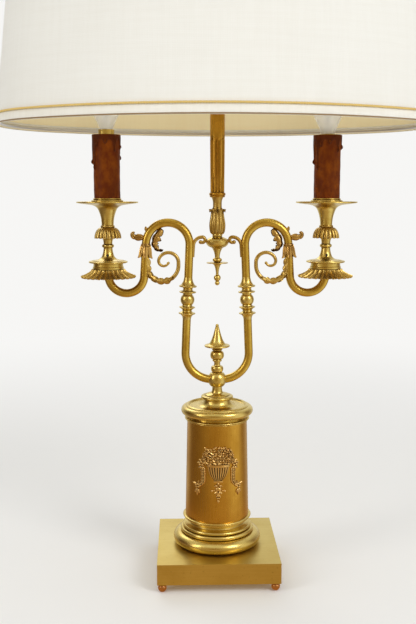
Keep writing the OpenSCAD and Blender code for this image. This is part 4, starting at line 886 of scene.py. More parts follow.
def along_line(line: Sequence[Point], u: float) -> tuple[Vector, Vector]:
    """A place on a line in the X-Z plane.

    Args:
        line: the line's points.
        u: the share of its length.

    Returns:
        The place, and the direction to the line's left.
    """
    last = len(line) - 1
    i = min(int(u * last), last - 1)
    at = Vector(line[i]).lerp(Vector(line[i + 1]), u * last - i)
    way = Vector(line[min(i + 2, last)]) - Vector(line[max(i - 1, 0)])
    return at, Vector((-way.y, way.x)).normalized()


def between(values: Sequence[float], u: float) -> float:
    """The value at a share of an evenly spaced row of values."""
    last = len(values) - 1
    i = min(int(u * last), last - 1)
    return values[i] + (values[i + 1] - values[i]) * (u * last - i)


@dataclass(frozen=True)
class Frond:
    """A cast leaf that lies in the plane of an arm, along a curved midrib."""

    spine: tuple[Point, ...]
    left: tuple[float, ...]
    right: tuple[float, ...]
    lobes: int = 0
    depth: float = 0.4
    bulge: float = 1.8
    vein: float = 0.5
    rows: int = 56
    columns: int = 14

    def shape(self) -> Shape:
        """Makes the frond.

        Returns:
            Its shape, a closed shell, alike on its front and its back.
        """
        line = smooth(self.spine, CURVE)

        def bent(u: float, v: float) -> Vector:
            """Places a point of the flat grid on the frond's front."""
            at, side = along_line(line, u)
            half = between(self.left if v > 0 else self.right, u)
            beat = 1.0
            if self.lobes:
                beat = abs(sin(pi * self.lobes * min(u + 0.05 * abs(v), 1))) ** 0.6
                half *= 1 - self.depth * (1 - beat) * abs(v)
            swollen = sqrt(max(1 - v * v, 0.0) * min(1, 8 * u, 8 * (1 - u)))
            crease = self.vein * (1 - beat + exp(-(v / 0.12) ** 2)) * (1 - v * v) * 0.7
            at = at + side * (v * half)
            return Vector((at.x, min(crease - self.bulge, 0) * swollen, at.y))

        made = pressed(self.columns, self.rows, bent)
        made.add(made, stretch(1, -1, 1))
        return made


@dataclass(frozen=True)
class Sheath:
    """A cast leaf that wraps the front of a rod in the plane of an arm."""

    spine: tuple[Point, ...]
    rod_r: float
    spread: tuple[float, ...]
    lobes: int = 5
    depth: float = 0.4
    flare: float = 1.0
    rows: int = 60
    columns: int = 16

    def shape(self) -> Shape:
        """Makes the sheath.

        Returns:
            Its shape, a closed shell.
        """
        line = smooth(self.spine, CURVE)

        def bent(u: float, v: float) -> Vector:
            """Wraps a point of the flat grid round the rod."""
            at, side = along_line(line, u)
            beat = abs(sin(pi * self.lobes * max(u - 0.1 * abs(v), 0.0))) ** 0.7
            a = radians(between(self.spread, u) * v * (1 - self.depth * (1 - beat) * abs(v)))
            r = self.rod_r + 0.3 + 0.5 * exp(-(v / 0.14) ** 2)
            r += 0.45 * (beat - 0.6) * min(1.0, abs(v) * 2) + self.flare * beat * abs(v) ** 3
            at = at + side * (r * sin(a))
            return Vector((at.x, -r * cos(a), at.y))

        made = pressed(self.columns, self.rows, bent)
        made.thicken(0.7)
        return made


def round_copies(count: int, start: float = 0.0) -> list[Matrix]:
    """Turns that spread copies round Z, the first one at an angle in degrees."""
    return [tilt(start + 360 * i / count, "Z") for i in range(count)]


def copied(node: str) -> Shape:
    """A merged copy of a CAD node, in millimetres, with its flat faces whole."""
    made = Shape()
    made.bm.from_mesh(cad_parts[node].data)
    bmesh.ops.scale(made.bm, vec=(1 / MM, 1 / MM, 1 / MM), verts=made.bm.verts)
    bmesh.ops.remove_doubles(made.bm, verts=made.bm.verts, dist=0.003)
    bmesh.ops.dissolve_limit(made.bm, angle_limit=radians(0.6), use_dissolve_boundaries=False,
                             verts=made.bm.verts, edges=made.bm.edges)
    return made


def keep(finish: Finish, *nodes: str) -> None:
    """Gives CAD nodes that stay as they are their finish.

    Args:
        finish: the finish.
        *nodes: the nodes.
    """
    for node in nodes:
        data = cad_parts[node].data
        data.materials.clear()
        data.materials.append(finish.material())


class Side(Enum):
    """The side of the lamp, with its sign along X."""

    LEFT = -1
    RIGHT = 1

    def node(self, name: str) -> str:
        """The name of this side's node or piece."""
        return f"{self.name.lower()}_{name}"

    def place(self, what: Matrix | Vector) -> Matrix | Vector:
        """A move or a point, or its mirror image on the left."""
        return stretch(self.value, 1, 1) @ what


# ---------------------------------------------------------------- base and column


@dataclass
class Base:
    """The square plinth on its ball feet, with what it holds."""

    edge: float = 0.45

    def build(self) -> None:
        """Builds and dresses the base."""
        keep(STEEL, "underside_plate", "tie_rod", "tie_rod_nut")
        keep(IRON, "base_weight")
        keep(BLACK_PLASTIC, "cord_bushing")
        copied("plinth").piece("plinth_box", PLATE, ["plinth"], edge=self.edge)
        copied("ball_feet").piece("turned_feet", FEET, ["ball_feet"], sharp=50)


@dataclass
class Column:
    """The turned column: its foot, bead rings, drum, cap and neck disc."""

    torus_r: float = 37.0
    torus_h: float = 13.0
    torus_out: float = 7.2
    bead_r: float = 35.5
    bead_z: float = 17.6
    lip_r: float = 33.4
    lip_z: float = 20.6
    scotia_r: float = 28.0
    waist_z: float = 22.7
    foot_h: float = 26.8
    drum_r1: float = 32.0
    drum_r2: float = 30.0
    drum_h: float = 97.6
    drum_wall: float = 1.5
    ring_h: float = 3.4
    cap_h: float = 18.2

    def radius(self, z: float) -> float:
        """The drum's radius at a height over its foot."""
        return self.drum_r1 + (self.drum_r2 - self.drum_r1) * z / self.drum_h

    def build(self) -> None:
        """Builds and dresses the column."""
        top, brim, step = self.drum_r1, self.foot_h - 0.8, 0.35
        turned([
            *swell(self.torus_r, 0, self.torus_h, self.torus_out),
            (self.bead_r - 0.9, self.torus_h - step),
            *swell(self.bead_r, self.torus_h + step / 2, self.bead_z - step, 1.5),
            (self.lip_r - 0.9, self.bead_z - step),
            *swell(self.lip_r, self.bead_z + step / 2, self.lip_z, 1.15),
            *hollow_up((self.lip_r - 0.8, self.lip_z), (self.scotia_r, self.waist_z)),
            *hollow_out((self.scotia_r, self.waist_z), (top - 0.9, brim)),
            (top, brim), (top, self.foot_h),
        ], "column_foot_turning", "column_foot")
        beads, middle, high = Shape(), self.ring_h * 0.36, top_of("drum_rings") - self.ring_h
        for r, z in ((self.drum_r1, floor_of("drum_rings")), (self.drum_r2, high)):
            low, up = swell(r + 0.3, 0.1, middle, 1.0), swell(r + 0.3, middle, self.ring_h, 2.25)
            beads.turn([(r - 4.5, 0.1), *low, *up, (r - 4.5, self.ring_h)],
                       place=spot(0, 0, z), loop=True)
        beads.piece("drum_bead_rings", TURNED, ["drum_rings"])
        tube = [(self.drum_r1, 0), (self.drum_r2, self.drum_h),
                (self.drum_r2 - self.drum_wall, self.drum_h), (self.drum_r1 - self.drum_wall, 0)]
        foot = spot(0, 0, floor_of("column_drum"))
        Shape().turn(tube, 128, foot, loop=True).piece("drum_tube", DRUM, ["column_drum"])
        turned([
            (27.3, 0), (27.3, 2.1), *swell(31.65, 2.6, 11.2, 4.35), (31.2, 11.9), (30.2, 12.6),
            (28.9, 12.6), (28.5, 12.2), (28.1, 12.35), (27.4, 11.3),
            *hollow_up((20.3, 11.2), (13.3, self.cap_h)),
        ], "cap_turning", "column_cap")
        turned([
            *swell(14.75, 0, 3.08, 1.4), (13.6, 3.25), (13.3, 3.0),
            *hollow_up((12.95, 3.1), (11.95, 4.08)), (11.2, 4.6), (7.7, 5.6),
        ], "neck_disc_turning", "neck_disc")


@dataclass
class BasketRelief:
    """The cast mount on the drum: an urn of fruit, two garlands and a drop.

    It is formed flat, with +X across, +Y outwards and +Z up from the drum's foot, and is then
    wrapped round the drum.
    """

    column: Column
    urn_z: float = 44.0
    urn_h: float = 15.8
    urn_r: float = 11.35
    heap_r: float = 15.2
    heap_h: float = 14.2
    rope_x: float = 14.5
    seed: int = 7
    form: Leaf = Leaf(0, 0, curl=18, tip_curl=-40, cup=0.3, lobes=2, lobe_depth=0.28, vein=0.35,
                      rib=0.3, root=0.35, widest=0.45, thick=0.8, rows=10, columns=6)
    made: Shape = field(default_factory=Shape)

    def grain(self, x: float, z: float, out: float, size: Triple,
              lean: float = 0.0, detail: int = 2) -> None:
        """Adds a grain at x and z, so far out, with its half sizes and its lean to the right."""
        self.made.ball(spot(x, out, z) @ tilt(lean, "Y") @ stretch(*size), detail)

    def leaf(self, x: float, z: float, lean: float, length: float = 4.4, width: float = 2.8,
             out: float = 0.6) -> None:
        """Adds a small leaf by its root's place, its lean to the right and its size."""
        leaf = replace(self.form, length=length, width=width).shape()
        self.made.add(leaf, spot(x, out, z) @ tilt(lean, "Y") @ tilt(90, "Z"))

    def rose(self, x: float, z: float, r: float, out: float) -> None:
        """Adds a rose of two rings of petals round a bud.

        Args:
            x: its place across the drum.
            z: its height.
            r: its radius.
            out: how far its middle stands out.
        """
        self.grain(x, z, out + 0.3 * r, (0.34 * r, 0.3 * r, 0.34 * r))
        for reach, rise, wide, start in ((0.45, 0.18, 0.3, 20), (0.78, 0.0, 0.42, 50)):
            for lean in (start + 72 * k for k in range(5)):
                a = radians(lean)
                self.grain(x + reach * r * cos(a), z + reach * r * sin(a),
                           out + rise * r, (0.17 * r, 0.34 * r, wide * r), -lean)

    def reach(self, rise: float) -> float:
        """The heap's half width at a height over the urn's rim."""
        return self.heap_r * (1 - 0.55 * max(0.0, rise / self.heap_h - 0.62) ** 1.3)

    def fruit(self) -> None:
        """Heaps flowers, berries and leaves over the rim."""
        luck = random.Random(self.seed)
        rim = self.urn_z + self.urn_h
        roses = ((-11.2, 10.6, 3.2), (11.4, 9.8, 3.5), (0.6, 13.2, 2.5), (-5.6, 6.8, 2.2),
                 (5.2, 6.2, 2.3), (-13.4, 4.6, 2.3), (13.6, 4.0, 2.4), (-0.4, 3.4, 2.0))
        for x, rise, r in roses:
            self.rose(x, rim + rise, r, 1.2)
        pitch = 2.35
        rows = int(self.heap_h / pitch) + 1
        for row in range(rows):
            rise = 0.8 + row * pitch
            half = self.reach(rise) - 0.8
            count = round(2 * half / pitch)
            for k in range(count + 1):
                x = half * (2 * k / count - 1) + luck.uniform(-0.5, 0.5)
                z = rise * (1 + 0.12 * cos(x / 5)) + luck.uniform(-0.5, 0.5)
                if any(hypot(x - rx, z - rz) < 0.85 * r for rx, rz, r in roses):
                    continue
                crown = 0.9 * (1 - (x / 17) ** 2)
                self.grain(x, rim + z, 0.2 + 0.6 * crown, (1.45, 0.5, 1.3), 0, 1)
                if luck.random() < 0.42:
                    lean, long = luck.uniform(-70, 70) + 3 * x, luck.uniform(2.8, 4.0)
                    self.leaf(x, rim + z - 0.8, lean, long, 2.3, 0.4 + crown)
                else:
                    size = luck.uniform(0.75, 1.25)
                    self.grain(x, rim + z, 0.5 + crown, (size, size, size))
        for side in (-1, 1):
            for x, rise, size in ((15.9, 1.4, 1.5), (17.4, -1.2, 1.35), (15.2, -1.4, 1.3),
                                  (13.8, 0.8, 1.2), (16.6, -4.0, 1.3), (14.6, -3.8, 1.3)):
                self.grain(side * x, rim + rise, 0.7, (size, size * 0.9, size))
            for x, rise, lean in ((16.2, 2.4, 60), (17.4, 0.6, 100), (17.2, -2.8, 150),
                                  (15.2, -2.2, 200), (14.8, 3.0, 20), (16.0, -5.2, 170)):
                self.leaf(side * x, rim + rise, side * lean, 2.8, 2.4)

    def urn(self) -> None:
        """Builds the fluted urn, with its rim and its foot."""
        r, h = self.urn_r, self.urn_h
        body = Shape().turn([
            *smooth([(2.4, 0), (4.6, 0.6), (7.9, 4.2), (9.9, 8.9), (10.7, 13.2)], 7),
            *swell(r - 0.5, 13.4, 14.5, 0.5), (r - 1.0, 14.6), *swell(r - 0.5, 14.8, h, 0.45),
        ], 300)

        def fluted(co: Vector) -> Vector:
            """Flattens the urn and parts its flutes, evenly across its front."""
            r = hypot(co.x, co.y)
            if r < 0.5:
                return co
            across = co.x / r
            beat = abs(cos(4.5 * pi * across)) ** 0.55 if co.z < 13.3 else 1.0
            out = 0.7 + 2.6 * sqrt(max(1 - across * across, 0.0)) - 1.3 * (1 - beat)
            return Vector((co.x, out if co.y > 0 else -0.5, co.z))

        body.shift(fluted)
        self.made.add(body, spot(0, 0, self.urn_z))
        z = self.urn_z
        self.made.block((8.7, 2.6, 1.9), spot(0, 0.6, z - 1.2), 0.5)
        self.made.block((5.2, 2.0, 0.8), spot(0, 0.6, z + 0.1), 0.3)

    def garland(self, side: int) -> None:
        """Hangs a rope of leaves and beads with a tuft and a tassel at its foot.

        Args:
            side: -1 for the left one and 1 for the right one.
        """
        top = self.urn_z + self.urn_h - 5.0
        beads = 12
        for k in range(beads):
            t = k / (beads - 1)
            x = self.rope_x - 0.3 + 34 * max(0.0, t - 0.66) ** 2
            z = top - 17.4 * t
            lean = 20 * t
            self.grain(side * (x - 1.2), z, 0.6, (0.75, 0.9, 1.25), side * -lean)
            self.grain(side * (x + 0.4), z + 0.5, 0.8, (1.15, 1.1, 0.72), side * 25)
            self.grain(side * (x + 1.8), z, 0.5, (0.95, 0.9, 0.6), side * 40)
        for x, dz, size in ((17.6, 37.2, 1.3), (19.4, 38.4, 1.3), (21.0, 37.0, 1.15),
                            (18.8, 35.8, 1.25), (20.6, 35.2, 1.1)):
            self.grain(side * x, dz, 0.7, (size, 1.1, size * 0.85))
        for x, z, lean, half in ((20.0, 30.2, 4, 3.6), (21.2, 31.4, -18, 2.6),
                                 (18.8, 31.4, 16, 2.4)):
            self.grain(side * x, z, 0.6, (0.95, 0.9, half), side * lean)
        for x, z, lean in ((21.2, 38.0, 70), (18.6, 38.6, 10)):
            self.leaf(side * x, z, side * lean, 3.1, 2.6, 0.7)

    def drop(self) -> None:
        """Hangs the drop under the urn."""
        for z, wide, tall in ((40.6, 1.1, 1.6), (34.6, 3.0, 2.6), (31.4, 2.5, 2.0),
                              (28.6, 1.9, 1.9), (25.9, 1.7, 1.0), (23.0, 1.4, 1.4),
                              (21.7, 0.7, 0.7)):
            self.grain(0, z, 0.7, (wide, 1.5, tall), 0, 3)
        for side in (-1, 1):
            self.grain(side * 1.85, 38.4, 1.0, (1.35, 1.3, 1.35))
            self.grain(side * 6.3, 33.0, 0.7, (1.25, 1.1, 1.25))
            self.grain(side * 4.4, 33.6, 0.5, (1.5, 0.7, 0.5), side * 12)
            self.leaf(side * 0.9, 36.6, side * 60, 3.6, 2.2, 1.0)
            self.leaf(side * 0.8, 33.4, side * 140, 4.2, 2.2, 1.1)
            self.leaf(side * 0.5, 30.2, side * 160, 4.0, 2.0, 1.0)
        self.leaf(0, 36.4, 180, 5.2, 2.4, 1.6)

    def build(self) -> None:
        """Builds and dresses the relief."""
        self.fruit()
        self.urn()
        for side in (-1, 1):
            self.garland(side)
        self.drop()
        floor = floor_of("column_drum")

        def wrapped(co: Vector) -> Vector:
            """Wraps a point of the flat mount round the drum."""
            r = self.column.radius(co.z)
            a = asin(co.x / r)
            round_it = Vector((sin(a), -cos(a), 0)) * (r + co.y)
            return round_it + Vector((0, 0, floor + co.z))

        def deep(co: Vector) -> float:
            """Painted shade for a point lying deep between the grains, from its height over the
            drum.
            """
            over = hypot(co.x, co.y) - self.column.radius(co.z - floor)
            return min(max(0.5 - over / 1.2, 0.0), 0.5)

        self.made.shift(wrapped)
        self.made.piece("basket_mount", ORNAMENT, ["basket_relief"], deep=deep, occlusion_reach=2.2)


@dataclass
class Hub:
    """The barrel ball that takes the arms, with the baluster and the hat on top."""

    neck_h: float = 7.0
    baluster_h: float = 26.2

    def build(self) -> None:
        """Builds and dresses the hub."""
        turned([
            *hollow_up((6.7, 0), (4.9, 5.6)), (4.9, 6.6), (6.2, 6.9),
            *arc((0, 13.8), 9.3, -45.5, 45.5), (6.2, 20.6),
        ], "hub_barrel", "hub_ball")
        turned([
            (4.96, 0), (4.96, 1.1), *swell(4.96, 1.1, 6.7, 1.24),
            *hollow_up((4.9, 6.75), (3.1, 8.2)), (3.1, 11.2), *swell(3.9, 11.4, 13.6, 0.8),
            *swell(4.55, 13.8, 21.8, 2.35), (4.2, 22.4), *swell(4.0, 22.7, 24.2, 1.3),
            (3.9, 24.6), (4.55, self.baluster_h),
        ], "hub_turning", "hub_baluster", spot(0, 0, floor_of("hub_finial") - self.baluster_h))
        turned([
            *swell(11.65, 0, 2.0, 1.0),
            *smooth([(10.65, 2.0), (8.6, 2.7), (6.2, 6.2), (4.3, 11.0), (2.9, 15.8), (1.9, 19.6)]),
            *arc((0, 21.35), 1.65, -20, 85),
        ], "hub_hat", "hub_finial")


# ---------------------------------------------------------------- branch


@dataclass
class Branch:
    """The two arms with their collars, husks, leaves, scrolls and brackets."""

    hub_z: float
    bowl_z: float
    tube_r: float = 4.1
    bend_x: float = 5.0
    bend_r: float = 26.6
    lean: float = 2.3
    lower_leg: float = 33.0
    collar_l: float = 42.0
    upper_leg: float = 31.5
    arch_r: float = 21.3
    outer_lean: float = 3.5
    outer_leg: float = 32.8
    candle_x: float = 107.0
    cup_rise: float = 6.2
    scroll_r: Triple = (15.4, 9.9, 5.0)
    scroll_drop: float = 22.0
    scroll_inset: float = 17.6
    scroll_gap: float = 2.8

    def __post_init__(self) -> None:
        """Works out the arm's centre line, on the right side."""
        up, away = heading(90 + self.lean), heading(self.lean)
        self.down, side = heading(self.outer_lean - 90), heading(self.outer_lean)
        self.bend_c = Vector((self.bend_x, self.hub_z + self.bend_r))
        self.collar_start = self.bend_c + away * self.bend_r + up * self.lower_leg
        self.collar_end = self.collar_start + up * self.collar_l
        self.arch_c = self.collar_end + up * self.upper_leg + away * self.arch_r
        self.outer_start = self.arch_c + side * self.arch_r
        outer_end = self.outer_start + self.down * self.outer_leg
        self.u_r = (self.candle_x - outer_end.x) / (1 + side.x)
        self.u_c = outer_end + side * self.u_r
        inset = Vector((self.scroll_inset, 0))
        self.scroll_c = self.outer_start + self.down * self.scroll_drop - inset

    def along(self, at: Vector, way: float) -> Matrix:
        """A frame in the X-Z plane, with its +Z at an angle in degrees from +X towards +Z."""
        return spot(at.x, 0, at.y) @ tilt(90 - way, "Y")

    def tubes(self, side: Side) -> None:
        """Draws the two lengths of tube of one arm.

        Args:
            side: the arm's side.
        """
        lower, upper = Shape(), Shape()
        rod = Rod(lower, (self.bend_x, self.hub_z), 0, self.tube_r)
        rod.bend(self.bend_c, 90 + self.lean, 36).run(self.lower_leg + 1).close()
        rod = Rod(upper, self.collar_end - Vector((0, 1)), 90 + self.lean, self.tube_r)
        rod.run(self.upper_leg + 1, 2).bend(self.arch_c, self.outer_lean - 180 - self.lean, 56)
        rod.run(self.outer_leg, 2).bend(self.u_c, 180 - self.outer_lean, 56)
        rod.run(self.cup_rise).close()
        for part, shape in (("lower", lower), ("upper", upper)):
            shape.shift(side.place)
            shape.piece(side.node(f"{part}_tube"), TUBE, [side.node(f"{part}_arm")], sharp=60)

    def collars(self, side: Side) -> None:
        """Turns the stack of flanges, ball and rings in the leg.

        Args:
            side: the arm's side.
        """
        r, rim = self.tube_r, 8.4
        outline = [
            *smooth([(r, 0), (r + 0.5, 2.6), (r + 1.9, 4.7), (rim - 0.6, 5.6)], 6),
            *swell(rim - 0.6, 5.6, 6.8, 0.6),
            *smooth([(rim - 1.6, 6.9), (r + 1.6, 7.5), (r + 0.5, 9.0), (r + 1.6, 10.6),
                     (rim - 1.4, 11.6)], 5),
            *swell(rim - 1.4, 11.6, 12.9, 0.9), (r + 1.0, 13.6), *arc((0, 19.7), 6.9, -48, 48),
            (r + 0.6, 25.2), (r + 0.6, 26.4), *swell(rim - 1.2, 26.6, 28.2, 1.2),
            *smooth([(r + 1.4, 28.6), (r + 0.5, 30.2), (r + 1.2, 31.9)], 5),
            *swell(rim - 0.3, 32.4, 33.9, 0.7),
            *smooth([(rim - 1.0, 34.0), (r + 2.2, 35.4), (r + 0.9, 37.8), (r + 0.3, 40.2),
                     (r, self.collar_l)], 6),
        ]
        place = side.place(self.along(self.collar_start, 90 + self.lean))
        turned(outline, side.node("collar_turning"), side.node("arm_collars"), place, 64)

    def husks(self) -> None:
        """Casts the ring and the pointed leaves round the top of each outer leg."""
        shape = Shape().turn([*swell(4.1, 0, 0.8, 0.2), *swell(4.2, 0.8, 2.7, 0.85)], 48)
        leaf = Leaf(
            0, 6.4, cup=0.26, rib=0.8, root=0.62, widest=0.42, tip=0.1, thick=0.9, rows=20,
            columns=10, line=((4.4, 2.2), (5.2, 5.0), (5.8, 8.6), (6.2, 12.0), (7.1, 14.7)))
        shape.add(leaf.shape(), *round_copies(5, -18))
        shape.move(self.along(self.outer_start, self.outer_lean - 90)).mirror()
        shape.piece("cast_husks", DULL, ["leaf_husks"], occlusion_reach=2.5)

    def polar(self, *points: Point) -> tuple[Point, ...]:
        """Places round the arch's centre, from their distances and angles in degrees."""
        return tuple(arc(self.arch_c, r, a, a)[0] for r, a in points)

    def arch_leaves(self) -> None:
        """Casts the leaves that grow from the outer shoulder of each arch."""
        rim, x, z = self.arch_r + self.tube_r, self.arch_c.x, self.arch_c.y
        outer = Frond(
            self.polar((rim - 1.5, 15), (rim + 1.5, 14.5), (rim + 4.8, 12.5), (rim + 8.0, 12.5),
                       (rim + 10.0, 15.5), (rim + 9.9, 18.8), (rim + 8.4, 19.6)),
            left=(2.0, 3.4, 4.6, 4.2, 2.6, 1.6, 0.5), right=(2.0, 2.8, 3.3, 3.2, 2.6, 2.0, 0.8),
            lobes=2, depth=0.45, bulge=3.2, vein=0.8)
        spur = Frond(
            self.polar((rim - 1.5, 34), (rim + 0.5, 36), (rim + 1.7, 38), (rim + 2.1, 40)),
            left=(2.0, 1.9, 1.1, 0.3), right=(2.0, 1.9, 1.1, 0.3), bulge=1.3)
        inner = Frond(
            ((x + 6.0, z + 15.6), (x + 10.8, z + 10.2), (x + 13.4, z + 5.4), (x + 14.2, z + 0.6),
             (x + 12.6, z - 3.2), (x + 9.4, z - 5.6), (x + 6.0, z - 5.9), (x + 4.4, z - 4.9)),
            left=(1.4, 2.4, 2.2, 2.0, 1.9, 1.7, 1.3, 0.4),
            right=(3.0, 7.0, 7.4, 5.6, 5.4, 2.6, 1.7, 0.5), lobes=5, depth=0.5, bulge=2.6,
            vein=1.0, rows=90, columns=18)
        shape = Shape()
        for frond in (outer, spur, inner):
            shape.add(frond.shape(), HERE)
        shape.mirror()
        shape.piece("cast_arch_leaves", DULL, ["arch_leaves"], sharp=50, occlusion_reach=2.5)

    def scroll(self, side: Side) -> None:
        """Draws the C-scroll, with the leaf that wraps its lower turn.

        Args:
            side: the scroll's side.
        """
        big, mid, small = self.scroll_r
        c1 = self.scroll_c
        c2 = c1 + Vector((mid - big, self.scroll_gap))
        c3 = c2 + heading(20) * (mid - small)
        start = c1 + heading(-25) * big + heading(65) * 9
        shape = Shape()
        rod = Rod(shape, start, -115, 1.7, 20)
        rod.run(9, 3, 2.2).bend(c1, -155, 44, 1.95).run(self.scroll_gap, 1, 1.9)
        rod.bend(c2, -160, 40, 1.6).bend(c3, -175, 30, 1.15)
        shape.ball(Matrix.Translation(rod.at) @ stretch(1.5, 1.5, 1.5), 3)
        rod.close()
        path = tuple((c1.x + (big + 0.2) * cos(t), c1.y + (big + 0.2) * sin(t))
                     for t in turns(-12, -130, 9))
        low = Sheath(path, 2.1, (70, 110, 125, 120, 108, 92, 70, 20), lobes=5, flare=0.9, rows=84)
        top = self.outer_start + self.down * 12.6
        foot = Vector(path[1])
        spine = Sheath((top - Vector((0.6, 0)), top.lerp(foot, 0.35) - Vector((0.3, 0)),
                        top.lerp(foot, 0.7), foot + Vector((0.5, 0)), foot + Vector((0.2, -3.6))),
                       3.1, (28, 62, 74, 60, 40, 8), lobes=3, depth=0.3, flare=0.7)
        for leaf in (low, spine):
            shape.add(leaf.shape(), HERE, stretch(1, -1, 1))
        shape.shift(side.place)
        shape.piece(side.node("scroll_casting"), CAST, [side.node("scroll")], sharp=50,
                    occlusion_reach=2.5)

    def brackets(self) -> None:
        """Draws the S-scrolls between the legs and the bowl's widest line."""
        r, turn_r, curl_r = 1.75, 8.4, 2.4
        curl_c = Vector((11.65 + r + curl_r - 1, self.bowl_z + r / 2))
        turn_c = curl_c + Vector((0, curl_r - turn_r))
        shape = Shape()
        rod = Rod(shape, turn_c + Vector((turn_r + 0.5, -11.0)), 91, 1.2, 24)
        rod.run(11.0, 6, r).bend(turn_c, 90, 24).bend(curl_c, 215, 36, 1.5)
        shape.ball(Matrix.Translation(rod.at) @ stretch(2.0, 2.0, 2.0), 3)
        rod.close()
        shape.mirror()
        shape.piece("bracket_castings", CAST, ["inner_brackets"], sharp=50)

    def build(self) -> None:
        """Builds and dresses the branch."""
        keep(WIRE, "arm_wires")
        self.husks()
        self.arch_leaves()
        self.brackets()
        for side in Side:
            self.tubes(side)
            self.collars(side)
            self.scroll(side)


# ---------------------------------------------------------------- candles


@dataclass
class Candle:
    """One candle: its leaf skirt, cup, bell, drip pan, sleeve and bulb."""

    side: Side
    x: float = 107.0
    skirt_leaves: int = 26
    lobes: int = 18
    sleeve_r: float = 12.7
    sleeve_h: float = 64.5
    runs: tuple[tuple[float, float, float], ...] = (
        (-128, 0.17, 17), (-90, 0.13, 19), (-50, 0.24, 17), (-12, 0.2, 18), (24, 0.36, 17),
        (62, 0.22, 19), (100, 0.15, 18), (140, 0.3, 17), (186, 0.42, 20), (216, 0.5, 16),
    )

    def at(self, z: float) -> Matrix:
        """The candle's frame at a height, mirrored on the left."""
        return spot(self.side.value * self.x, 0, z)

    def skirt(self) -> Shape:
        """Casts the skirt of narrow ribbed leaves under the cup.

        Returns:
            Its shape.
        """
        flare = [(15.0, -0.05), *smooth([(15.1, -1.4), (17.6, -5.0), (21.0, -7.2)]), (20.4, -7.5),
                 *smooth([(17.0, -5.8), (14.4, -2.4)]), (13.8, -1.6), (4.0, -1.4), (4.0, -0.05)]
        shape = Shape().turn(flare, 96, loop=True)
        leaf = Leaf(
            0, 3.7, cup=0.34, rib=0.9, root=0.8, widest=0.72, tip=0.2, thick=0.7, rows=24,
            columns=8, line=((-15.6, -0.1), (-16.4, -1.7), (-18.2, -3.3), (-20.6, -4.7),
                             (-23.2, -6.0), (-25.6, -7.0), (-27.0, -7.1)))
        under = Leaf(
            0, 3.4, cup=0.2, rib=0.4, root=0.8, widest=0.7, tip=0.1, thick=0.5, rows=14, columns=4,
            line=((-15.2, -0.9), (-15.9, -2.7), (-17.8, -4.4), (-20.2, -5.8), (-22.8, -7.0),
                  (-25.2, -7.7)))
        shape.add(leaf.shape(), *round_copies(self.skirt_leaves, 3))
        shape.add(under.shape(), *round_copies(self.skirt_leaves, 3 + 180 / self.skirt_leaves))
        return shape

    def turn(self, outline: Sequence[Point], name: str, node: str) -> None:
        """Turns a piece that stands for one of this candle's CAD nodes, on the node's foot."""
        name, node = self.side.node(name), self.side.node(node)
        turned(outline, name, node, self.at(floor_of(node)))

    def cup(self) -> None:
        """Turns the cup's collar, plate, flare and ring."""
        self.turn([
            (14.4, 0), (15.2, 0.6), (15.2, 2.4), (14.6, 2.9), (14.4, 6.0),
            *swell(18.2, 6.4, 8.0, 0.8), (17.3, 8.2), (16.0, 8.3), (15.8, 8.7),
            *smooth([(13.0, 9.1), (9.3, 9.9), (6.5, 12.2), (5.1, 15.9), (4.5, 19.2), (4.4, 21.0)]),
            *swell(4.7, 21.3, 24.5, 1.2), *hollow_out((4.3, 24.8), (5.8, 30.0)),
        ], "cup_turning", "candle_cup")

    def bell(self) -> Shape:
        """Casts the lobed bell with the ring on top of it.

        Returns:
            Its shape.
        """
        outer = [(6.1 + 7.05 * cos(a), 10.75 * sin(a)) for a in turns(0, 90, 14)]
        inner = [(5.2, 9.4), (8.2, 8.9), (10.6, 6.8), (11.7, 3.6), (12.0, 0.2)]
        shape = Shape().turn(outer + inner, self.lobes * 12, loop=True)

        def fluted(co: Vector) -> Vector:
            """Swells the lobes out between their grooves and rounds their lower ends."""
            r = hypot(co.x, co.y)
            beat = abs(cos(atan2(co.y, co.x) * self.lobes / 2)) ** 0.4
            low = min(max((10.6 - co.z) / 10.6, 0), 1)
            share = 1 - 0.14 * (1 - beat) * min(1, low * 2.6) * (1 if r > 6.4 else 0)
            drop = 1.2 * (1 - beat) * max(0.0, 1 - co.z / 3.0)
            return Vector((co.x * share, co.y * share, co.z + drop))

        shape.shift(fluted)
        ring = [(2.9, 10.2), (5.7, 10.2), *swell(6.0, 10.5, 12.8, 0.85), (2.9, 12.8)]
        return shape.turn(ring, 64, loop=True)

    def pan(self) -> None:
        """Turns the vase with the drip pan and the ring round the sleeve's foot."""
        self.turn([
            *smooth([(6.0, 0), (5.9, 0.8), (6.3, 6.0), (7.6, 11.4), (9.8, 16.4), (13.4, 19.0),
                     (18.0, 20.0)]),
            (25.6, 20.9), *swell(29.3, 21.5, 22.9, 0.7), (28.2, 22.9), (26.4, 22.2), (24.0, 21.9),
            (17.0, 21.7), (16.4, 22.4), *swell(14.9, 22.4, 24.2, 0.7), (13.5, 24.5),
            *swell(13.2, 24.7, 26.0, 0.5), (12.9, 26.0), (12.9, 21.6),
        ], "pan_turning", "drip_pan")

    def wax(self, angle: float, z: float) -> float:
        """How thick the wax lies on the sleeve.

        Args:
            angle: the angle round the sleeve, in degrees.
            z: the height above its foot.

        Returns:
            The thickness.
        """
        below = self.sleeve_h - z
        reach, bead = 4.0, 0.0
        for middle, share, half in self.runs:
            off = abs((angle - middle + 180) % 360 - 180) / half
            long = self.sleeve_h * share
            if off < 1:
                arch = (1 - off ** 0.75) ** 1.35
                reach = max(reach, 4.0 + (long - 4.0) * arch)
                gap = hypot(off * half * 0.22 / 1.9, (below - long + 1.6) / 2.6)
                bead = max(bead, 1.1 * max(0.0, 1 - gap ** 2))
        layer = 1 / (1 + exp((below - reach) / 0.35))
        return 1.15 * layer + bead

